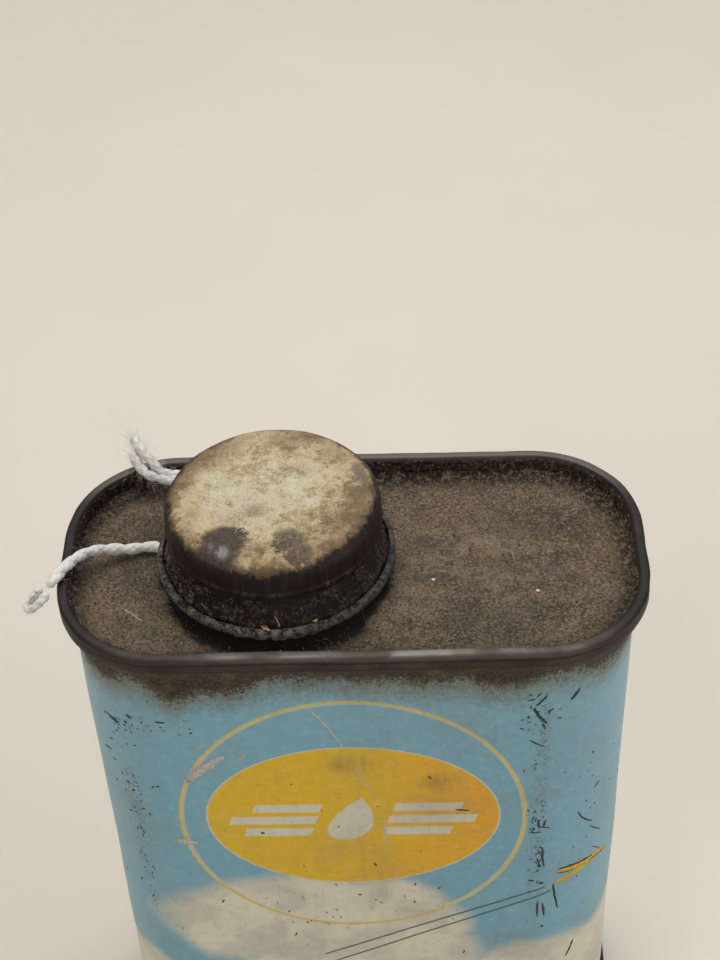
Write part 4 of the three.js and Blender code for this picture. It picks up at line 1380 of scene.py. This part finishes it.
# ---- The cap ----
def cap_outline():
    """The cap's section, [radius, height]: dished top, raised edge, drum, groove, skirt and curled hem."""
    roof = CAP_FLAT - CAP_SHEET / 2
    middle = CAP_RADIUS - CAP_SHEET / 2
    drum_foot = CAP_FLAT - DRUM_HEIGHT
    groove_bottom = drum_foot - GROOVE_WIDTH
    skirt_foot = HEM_BOTTOM + HEM_RADIUS
    skirt_radius = middle - GROOVE_DEPTH / 2
    line = bent_line([
        [0, roof + 0.05, 0],
        [12.9, roof, 2.5],
        [14.3, roof + 0.22, 1.2],
        [15.3, roof + 0.2, 1.5],
        [middle + 0.1, roof - 0.35, 2.3],
        [middle + 0.12, drum_foot + 1.2, 0.5],
        [middle + 0.3, drum_foot + 0.7, 0.3],
        [middle + 0.2, drum_foot, 0.3],
        [middle - GROOVE_DEPTH, groove_bottom + GROOVE_WIDTH / 2, 0.35],
        [skirt_radius, SKIRT_TOP, 0.5],
        [skirt_radius + SKIRT_FLARE * 0.93, skirt_foot + 0.5, 0.5],
        [skirt_radius + SKIRT_FLARE, skirt_foot, 0],
    ])
    curl = HEM_RADIUS - CAP_SHEET / 2
    centre = HEM_REACH - HEM_RADIUS
    hem = [[centre + curl * math.cos(a), skirt_foot + curl * math.sin(a)]
           for a in np.linspace(math.pi, 2.5 * math.pi, 26)[1:]]
    line = divided(np.vstack([line, hem]), 0.8)
    outline = sheet_outline(line, CAP_SHEET)
    outline[0, 0] = outline[-1, 0] = 0
    return outline


def cap_enamel():
    """Cream enamel stained amber, worn through to dark metal down the drum and in two bites at the front."""
    shader = Shader("stained_enamel")
    u, v = shader.x - NECK_X, shader.y
    down = CAP_TOP - shader.z
    reach = shader.reach(u, v)
    around = v.math("ARCTAN2", u) * CAP_RADIUS
    flat = shader.joined(u, v, 0.0)
    broad = shader.noise(7, 4, 0.6, 0.4, where=flat, shift=3)
    mottle = shader.noise(2.2, 5, 0.72, where=flat, shift=6)
    fine = shader.noise(0.5, 5, 0.78, shift=1)
    streak = shader.noise(0.7, 3, 0.6, where=shader.joined(around, shader.z * 0.1, 0.0))

    # The bared metal: near black down the drum, brown in the bites, with one bright scrape.
    chipped, bite = enamel_gone(shader, u, v, reach, down, around, mottle, flat)
    bite_tone = shader.mix(fine.soft(0.38, 0.66), (0.034, 0.023, 0.018), (0.088, 0.064, 0.049))
    bead = abs(down - DRUM_HEIGHT + 0.5).soft(0.9, 0.1) * (mottle * 0.75 + fine * 0.25).soft(0.52, 0.60)
    scrape_u, scrape_v = u + (fine - 0.5) * 2.2 + (mottle - 0.5) * 1.6, v + (mottle - 0.5) * 3
    scrape = shader.blob(scrape_u, scrape_v, (-7.1, -13.3), (0.85, 1.3), 0.55)
    scrape = scrape.most(shader.blob(scrape_u, scrape_v, (-9.1, -12.2), (0.4, 0.8), 0.7) * 0.5)
    metal = shader.over(
        (0.005, 0.003, 0.0026),
        (streak.soft(0.35, 0.7), (0.018, 0.0105, 0.0085)),
        ((mottle * 0.6 + fine * 0.4).soft(0.54, 0.66) * 0.5, (0.055, 0.036, 0.026)),
        (bite * down.soft(1.7, 0.8), bite_tone),
        (bead * 0.5, (0.105, 0.072, 0.046)),
        (scrape * (fine.soft(0.3, 0.6) * 0.3 + 0.5), (0.23, 0.235, 0.225)))

    # The enamel, browner towards its worn edges, and the metal where it is gone.
    edge = (reach + down * 1.3 + (mottle - 0.5) * 4 + (fine - 0.5) * 3).soft(15.6, 18.6) * v.soft(3, -5)
    soot = (edge * 0.7 + streak * 0.6).soft(0.55, 1.05)
    back_edge = (reach + (mottle - 0.5) * 2.2).soft(16.3, 17.6) * v.soft(-4, 4)
    right_edge = (reach + (mottle - 0.5) * 5).soft(13.6, 17.0) * u.soft(3, 12) * v.soft(7, 1)
    colour = shader.over(
        enamel_stain(shader, u, v, reach, broad, mottle, fine),
        (soot * 0.85, (0.085, 0.054, 0.030)),
        (back_edge * 0.8, (0.115, 0.073, 0.038)),
        (right_edge * (fine.soft(0.3, 0.65) * 0.45 + 0.5), (0.12, 0.078, 0.042)),
        (chipped, metal))

    # The caked skirt, and the hem: rubbed grey, partly as a painted sheen, and darker on its right side as
    # painted shade.
    low = shader.z.soft(HEM_BOTTOM + 7.2, HEM_BOTTOM + 6.6)
    crumbly = (shader.noise(0.62, 5, 0.8, shift=40) + (u * -0.006).least(0.06)).soft(0.56, 0.68)
    skirt = shader.mix(crumbly * 0.7, (0.009, 0.007, 0.006), (0.050, 0.035, 0.025))
    hem = reach.soft(18.35, 18.7) * shader.z.soft(HEM_BOTTOM + 3, HEM_BOTTOM + 2)
    scuff_and_sheen = shader.noise(1.1, 4, 0.7, shift=50)
    # Grey rubbed patches that are partly a painted sheen, and painted shade on the hem's right side.
    hem_colour = shader.over(
        (0.014, 0.012, 0.011),
        ((scuff_and_sheen * 0.5 + fine * 0.5).soft(0.42, 0.58), (0.205, 0.193, 0.168)),
        (u.soft(-2, 14) * 0.55, (0.016, 0.015, 0.013)))
    colour = shader.over(colour, (low, skirt), (hem, hem_colour))

    knurl = shader.noise(0.5, 2, 0.5, where=shader.joined(around, shader.z * 0.12, 0.0))
    on_drum = shader.z.soft(HEM_BOTTOM + 7, HEM_BOTTOM + 7.5) * down.soft(1.4, 2.4)
    relief = (1.0 - chipped) * 0.4 + fine * 0.25 + knurl * on_drum * 0.8
    shader.bump(relief + low * crumbly * 1.4 + hem * fine * 1.2, 0.17)
    roughness = 0.60 + fine * 0.14 - chipped * 0.12 + low * 0.2 - hem * 0.2
    shader.surface.inputs["Specular IOR Level"].default_value = 0.24
    return shader.finish(colour, roughness, chipped * 0.15 * (1.0 - low) + hem * 0.35)


# Blotches on the cap's top, each (centre, radii, how dark), in millimetres from the cap's axis.
BROWN_BLOTCHES = [
    ((-15.2, 4.5), (1.7, 4.5), 0.9), ((-8.8, 12.6), (3.4, 2.2), 0.6), ((1.5, 13.2), (3.2, 1.8), 0.75),
    ((6.4, 13.6), (3.4, 1.6), 0.65), ((-2.8, -4.0), (1.7, 1.5), 0.8), ((-12.8, -4.6), (1.2, 1.5), 0.6),
    ((13.2, -2.1), (1.8, 2.6), 1.0), ((11.6, -6.6), (3.2, 3.4), 1.0), ((-12.6, 8.6), (2.4, 2.6), 0.6),
    ((3.6, 5.6), (2.6, 1.4), 0.35), ((-6.0, -5.2), (2.2, 1.2), 0.3), ((10.4, 9.6), (2.8, 2.4), 0.45),
    ((-1.5, -12.6), (2.2, 1.2), 0.7), ((9.6, -12.4), (2.0, 2.0), 0.85), ((-13.6, -8.4), (1.4, 2.0), 0.7),
    ((-12.4, 10.2), (4.2, 3.0), 0.9), ((-14.9, 7.4), (1.8, 3.2), 0.8), ((14.6, -5.4), (1.6, 4.2), 1.0),
]
GREY_BLOTCHES = [((13.8, 4.8), (1.2, 2.2)), ((14.9, 2.0), (1.0, 2.6))]


def enamel_stain(shader, u, v, reach, broad, mottle, fine):
    """The cream enamel's colour: pale in the middle, tan and brown round the edge, freckled all over."""
    middle = shader.blob(u, v, (-2.5, 0.5), (10.5, 10), 0.6)
    stain = reach * 0.024 + broad * 0.85 + mottle * 0.85 - middle * 0.12 + fine * 0.25
    chalky = (mottle + middle * 0.1).soft(0.56, 0.44) * middle
    smoky = (mottle * 0.55 + fine * 0.35 + broad * 0.3).soft(0.61, 0.70)
    colour = shader.over(
        (0.485, 0.43, 0.30),
        (stain.soft(0.92, 1.26), (0.46, 0.36, 0.21)),
        (stain.soft(1.22, 1.50), (0.235, 0.15, 0.07)),
        (chalky * 0.5, (0.60, 0.585, 0.48)),
        (smoky * 0.5, (0.15, 0.10, 0.05)))
    for centre, radii, depth in BROWN_BLOTCHES:
        patch = shader.blob(u + (mottle - 0.5) * 7, v + (mottle - 0.5) * 6, centre, radii, 0.8)
        share = patch * (fine.soft(0.3, 0.62) * 0.55 + 0.35) * depth
        colour = shader.mix(share, colour, (0.145, 0.088, 0.043))
    for centre, radii in GREY_BLOTCHES:
        patch = shader.blob(u + (mottle - 0.5) * 6, v + (mottle - 0.5) * 6, centre, radii, 0.5)
        colour = shader.mix(patch * (fine.soft(0.35, 0.6) * 0.4 + 0.45), colour, (0.105, 0.10, 0.09))
    crowding = shader.noise(4, 2, where=shader.joined(u, v, 4.0))
    freckles = shader.noise(0.38, 4, 0.85, shift=12) + crowding * 0.14
    return shader.mix(freckles.soft(0.625, 0.70) * 0.75, colour, (0.11, 0.075, 0.038))


def enamel_gone(shader, u, v, reach, down, around, mottle, flat):
    """Where the enamel is gone, and where that is one of the two bites at the front of the top."""
    drip = shader.noise(2.2, 4, 0.68, where=shader.joined(around, 0.0, 3.0)) - 0.5
    worn = shader.noise(1.3, 5, 0.75, 0.6, shift=22) - 0.5
    path = reach + down * 1.25
    lower = 1.5 - v.soft(-15, 5) * 1.4 + abs(u + 1.5).soft(4.5, 1.0) * v.soft(0, -6) * 0.9
    front_right = u.soft(4, 12) * v.soft(2, -6) * 1.2
    side = (path - 17.1 - lower + front_right + drip * 3.2 + worn * 6.0).soft(-0.9, 1.0)
    ragged = shader.noise(0.8, 5, 0.75, 0.5, where=flat, shift=30) - 0.5
    bu, bv = u + (mottle - 0.5) * 6 + ragged * 3.2, v + (mottle - 0.5) * 5 + ragged * 3.0
    bite = shader.blob(bu, bv, (-7.2, -10.9), (3.7, 3.5), 0.2)
    bite = bite.most(shader.blob(bu, bv, (-8.2, -14.0), (4.0, 3.2), 0.3))
    faint = shader.blob(bu, bv, (3.0, -10.9), (2.9, 2.5), 0.3)
    faint = faint.most(shader.blob(bu, bv, (4.8, -14.0), (2.1, 2.6), 0.35))
    bite = bite.most(faint * (ragged.soft(-0.12, 0.1) * 0.3 + 0.62))
    return side.most(bite), bite


def skirt_radius_at(height):
    """The radius of the middle of the cap's skirt at a height. Above the skirt it stays as at its top."""
    skirt_foot = HEM_BOTTOM + HEM_RADIUS
    share = np.clip((SKIRT_TOP - height) / (SKIRT_TOP - skirt_foot), 0, 1)
    return CAP_RADIUS - CAP_SHEET / 2 - GROOVE_DEPTH / 2 + share * SKIRT_FLARE


def add_cap():
    """The cap, slightly dented on top and uneven down its side, with the thread on its skirt."""
    points, faces = revolve(cap_outline(), steps=224, axis_x=NECK_X)
    out = points[:, :2] - [NECK_X, 0]
    distance = np.linalg.norm(out, axis=1)
    top = points[:, 2] > CAP_TOP - 1.2
    dent = 0.10 * np.exp(-((out[:, 0] - 2) ** 2 + (out[:, 1] + 3) ** 2) / 26)
    points[top, 2] += (0.05 * waves(points, 8, 71) - dent)[top]
    side = (distance > 14) & ~top
    push = 0.045 * waves(points, 11, 73) + 0.03 * waves(points, 3.4, 74) * (points[:, 2] < HEM_BOTTOM + 6.6)
    points[side, :2] += (out / np.maximum(distance, 1e-6)[:, None] * push[:, None])[side]
    ridge = helical_ridge(skirt_radius_at, NECK_RADIUS + THREAD_HEIGHT - 0.3, THREAD_START)
    points, faces = merge((points, faces), ridge)
    add_piece("cap_worn", points, faces, "cap", cap_enamel(), ["cap_shell"])


def liner_disc(low, high, edge, bends, cell):
    """A disc between two heights, with a rounded edge."""
    outline = bent_line([[0, low, 0], [LINER_RADIUS, low, edge[0]], [LINER_RADIUS, high, edge[1]],
                         [0, high, 0]], bends)
    return revolve(divided(outline, cell), axis_x=NECK_X)


def add_liner():
    """The pulpboard disc and its foil face, which keeps the print of the neck's lip."""
    board = Shader("pulpboard")
    fibres = board.noise(0.8, 5, 0.7)
    colour = board.mix(fibres.soft(0.3, 0.7), (0.33, 0.23, 0.13), (0.48, 0.36, 0.22))
    board.bump(fibres, 0.06)
    material = board.finish(colour, 0.92)
    points, faces = liner_disc(BOARD_LOW[2], BOARD_HIGH[2], (0.12, 0.2), 4, 2)
    add_piece("liner_board", points, faces, "cap_liner", material, ["cap_liner_board"])

    foil = Shader("dull_foil")
    wrinkle = foil.noise(1.6, 4, 0.65)
    reach = foil.reach(foil.x - NECK_X, foil.y)
    print_ring = abs(reach - (NECK_RADIUS + 0.1)).soft(0.5, 0.1)
    colour = foil.over(
        (0.5, 0.5, 0.49),
        (wrinkle.soft(0.4, 0.7), (0.68, 0.67, 0.64)),
        (print_ring * 0.5 + (wrinkle.soft(0.6, 0.75) * 0.3), (0.2, 0.13, 0.07)))
    foil.bump(wrinkle - print_ring * 0.8, 0.08)
    material = foil.finish(colour, wrinkle * 0.2 + 0.25, 0.9)
    points, faces = liner_disc(FOIL_LOW[2], FOIL_HIGH[2], (0.05, 0.05), 3, 1)
    add_piece("liner_foil", points, faces, "cap_liner", material, ["cap_liner_foil"])


def add_lint():
    """Fibres caught on the panel under the hem and round its edge."""
    shader = Shader("dry_straw")
    tone = shader.noise(0.8, 3)
    material = shader.finish(shader.mix(tone, (0.12, 0.085, 0.045), (0.36, 0.27, 0.16)), 0.9)
    parts = []
    local = np.random.default_rng(19)
    for _ in range(11):
        angle = local.uniform(-2.5, -0.6)
        radius = local.uniform(19.4, 21.0)
        base = np.array([NECK_X + radius * math.cos(angle), radius * math.sin(angle), PANEL_TOP + 0.35])
        heading = local.normal(size=3) * [1, 1, 0.55]
        bend = local.normal(size=3) * [1, 1, 0.3]
        length = local.uniform(0.8, 2.4)
        t = np.linspace(-0.5, 0.5, 6)[:, None]
        line = base + heading * t * length + bend * t * t * length
        line[:, 2] = np.maximum(line[:, 2], PANEL_TOP + 0.25)
        parts.append(fibre(line, local.uniform(0.02, 0.045)))
    points, faces = merge(*parts)
    add_piece("lint", points, faces, "can", material)


def flake(centre, radii, turn, lift):
    """A thin curled chip of paint."""
    angles = np.linspace(0, 2 * math.pi, 9, endpoint=False)
    ragged = 1 + 0.25 * np.sin(angles * 3 + centre[0])
    x, y = radii[0] * np.cos(angles) * ragged, radii[1] * np.sin(angles) * ragged
    c, s = math.cos(turn), math.sin(turn)
    plan = np.column_stack([x * c - y * s, x * s + y * c])
    bow = lift * (x / radii[0]) ** 2
    top = np.column_stack([plan, bow + 0.05]) + centre
    low = np.column_stack([plan, bow - 0.05]) + centre
    count = len(angles)
    faces = [list(range(count)), [count + k for k in reversed(range(count))]]
    faces += [[k, k + count, (k + 1) % count + count, (k + 1) % count] for k in range(count)]
    return np.vstack([top, low]), faces


def add_flakes():
    """Two chips of paint lying on the hem, and a dry stalk that stands against the skirt."""
    shader = Shader("ochre_flake")
    tone = shader.noise(0.4, 3)
    material = shader.finish(shader.mix(tone, (0.27, 0.17, 0.06), (0.58, 0.43, 0.22)), 0.85)
    hem_top = HEM_BOTTOM + 2 * HEM_RADIUS
    stalk = np.array([[1.1, -18.55, -0.1], [1.25, -18.75, 0.8], [1.0, -18.7, 1.6], [0.7, -18.5, 2.3]])
    parts = [
        flake(np.array([NECK_X - 0.9, -18.9, hem_top + 0.05]), (0.9, 0.4), 2.4, 0.15),
        flake(np.array([NECK_X + 7.0, -17.4, hem_top + 0.05]), (0.45, 0.3), 0.7, 0.1),
        fibre(smooth_route(stalk + [NECK_X, 0, hem_top], 0.3), 0.14),
    ]
    points, faces = merge(*parts)
    add_piece("paint_flakes", points, faces, "cap", material)


def add_cap_crust():
    """Oily crumbs caked on the skirt and down in the corner over the hem."""
    shader = Shader("caked_crumbs")
    pick = shader.noise(0.8, 2, 0.5)
    left = (shader.x - NECK_X).soft(2, -14)
    colour = shader.over(
        (0.008, 0.006, 0.005),
        (pick.soft(0.36, 0.58), (0.046, 0.032, 0.023)),
        ((pick + left * 0.14).soft(0.62, 0.74) * 0.9, (0.135, 0.098, 0.060)))
    material = shader.finish(colour, 0.8)
    local = np.random.default_rng(83)
    count = 9000
    angle = local.uniform(0, 2 * math.pi, count)
    foot = HEM_BOTTOM + 1.6 * HEM_RADIUS
    rise = local.random(count) ** 1.5 * (SKIRT_TOP + 0.6 * GROOVE_WIDTH - foot)
    skirt_foot = CAP_RADIUS - GROOVE_DEPTH / 2 + SKIRT_FLARE
    skirt_rise = CAP_CROWN - DRUM_HEIGHT - 1.5 * GROOVE_WIDTH - HEM_RADIUS
    radius = skirt_foot - SKIRT_FLARE * np.clip((rise + 0.6) / skirt_rise, 0, 1)
    swell = waves(np.column_stack([angle * CAP_RADIUS, rise, 0 * rise]), 4.5, 84)
    size = 0.10 + 0.38 * local.random(count) ** 2.6 + 0.10 * np.exp(-rise / 0.7)
    skirt = [radius, foot + rise, size * (0.85 + 0.45 * swell)]

    on_hem = 4200
    hem_angle = local.uniform(0, 2 * math.pi, on_hem)
    around = local.normal(2.3, 0.75, on_hem)
    curl = HEM_RADIUS - 0.02
    hem_radius = HEM_REACH - HEM_RADIUS + curl * np.cos(around)
    hem_size = 0.035 + 0.13 * local.random(on_hem) ** 3
    hem = [hem_radius, HEM_BOTTOM + HEM_RADIUS + curl * np.sin(around), hem_size]
    radius, height, size = (np.concatenate(pair) for pair in zip(skirt, hem))
    angle = np.concatenate([angle, hem_angle])
    centre = np.column_stack([NECK_X + radius * np.cos(angle), radius * np.sin(angle), height])
    points, faces = crumbs(centre, size, local)
    add_piece("cap_crust", points, faces, "cap", material, smooth=False)


def compound():
    """The brown sealing compound in the seams."""
    shader = Shader("seam_compound")
    tone = shader.noise(1.5, 3)
    shader.bump(tone, 0.03)
    return shader.finish(shader.mix(tone, (0.10, 0.05, 0.025), (0.20, 0.11, 0.06)), 0.7)


def set_cad_material(node, material):
    """Puts a material on a CAD node that stays as it is."""
    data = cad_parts[node].data
    data.materials.clear()
    data.materials.append(material)


# ---- The stage ----
# The bowl that is the floor and the backdrop, in metres. Its middle is in front of the can.
BOWL_Y = -0.30
BOWL_REACH = 1.05
BOWL_CURVE = 0.30
BOWL_RIM = 0.55
BOWL_STEPS = 72
SKY_LIGHT = (0.93, 0.96, 1.0)
SKY_STRENGTH = 0.33
# Each light is (name, place, what it points at, disk size, watts, colour), in metres.
LIGHTS = [
    ("overhead", (0.0, 0.27, 0.75), (0.0, 0.0, 0.10), 0.7, 4.0, (1.0, 0.985, 0.96)),
    ("front_left", (-0.45, -0.6, 0.5), (0.0, 0.0, 0.08), 0.5, 1.6, (1.0, 0.97, 0.93)),
    ("right", (0.65, -0.30, 0.40), (0.0, 0.0, 0.08), 0.45, 2.0, (0.96, 0.98, 1.0)),
]


def add_backdrop():
    """A pale floor that curves up all round like a shallow bowl."""
    shader = Shader("pale_paper")
    tone = shader.noise(60, 2)
    material = shader.finish(shader.mix(tone, (0.66, 0.61, 0.535), (0.70, 0.65, 0.575)), 0.9)
    flat = BOWL_REACH - BOWL_CURVE
    profile = [(flat, 0.0)]
    for angle in np.linspace(0, math.pi / 2, 13)[1:]:
        profile.append((flat + BOWL_CURVE * math.sin(angle), BOWL_CURVE * (1 - math.cos(angle))))
    profile.append((BOWL_REACH, BOWL_RIM))
    points = [(0.0, BOWL_Y, 0.0)]
    for angle in np.linspace(0, 2 * math.pi, BOWL_STEPS, endpoint=False):
        points += [(radius * math.cos(angle), BOWL_Y + radius * math.sin(angle), height)
                   for radius, height in profile]
    faces = []
    for k in range(BOWL_STEPS):
        here, there = 1 + k * len(profile), 1 + (k + 1) % BOWL_STEPS * len(profile)
        faces.append([0, here, there])
        faces += [[here + n, here + n + 1, there + n + 1, there + n] for n in range(len(profile) - 1)]
    mesh = bpy.data.meshes.new("backdrop")
    mesh.from_pydata(points, [], faces)
    mesh.polygons.foreach_set("use_smooth", [True] * len(mesh.polygons))
    mesh.materials.append(material)
    backdrop = bpy.data.objects.new("backdrop", mesh)
    bpy.context.scene.collection.objects.link(backdrop)


def add_lights():
    """A pale sky and three soft studio lights."""
    world = bpy.data.worlds.new("studio")
    world.use_nodes = True
    background = world.node_tree.nodes["Background"]
    background.inputs[0].default_value = (*SKY_LIGHT, 1)
    background.inputs[1].default_value = SKY_STRENGTH
    bpy.context.scene.world = world
    bpy.context.scene.view_settings.view_transform = "Standard"
    for name, place, target, size, power, colour in LIGHTS:
        light = bpy.data.objects.new(name, bpy.data.lights.new(name, "AREA"))
        light.data.shape = "DISK"
        light.data.size = size
        light.data.energy = power
        light.data.color = colour
        light.location = place
        light.rotation_mode = "QUATERNION"
        light.rotation_quaternion = (Vector(target) - Vector(place)).to_track_quat("-Z", "Y")
        bpy.context.scene.collection.objects.link(light)


add_camera()
add_string()
add_wall()
add_marks()
add_ends()
add_panel_dirt()
add_grit()
add_neck()
add_cap()
add_cap_crust()
add_liner()
add_lint()
add_flakes()
set_cad_material("side_seam_solder", solder())
for ring in ("top_seam_compound", "bottom_seam_compound"):
    set_cad_material(ring, compound())
add_backdrop()
add_lights()
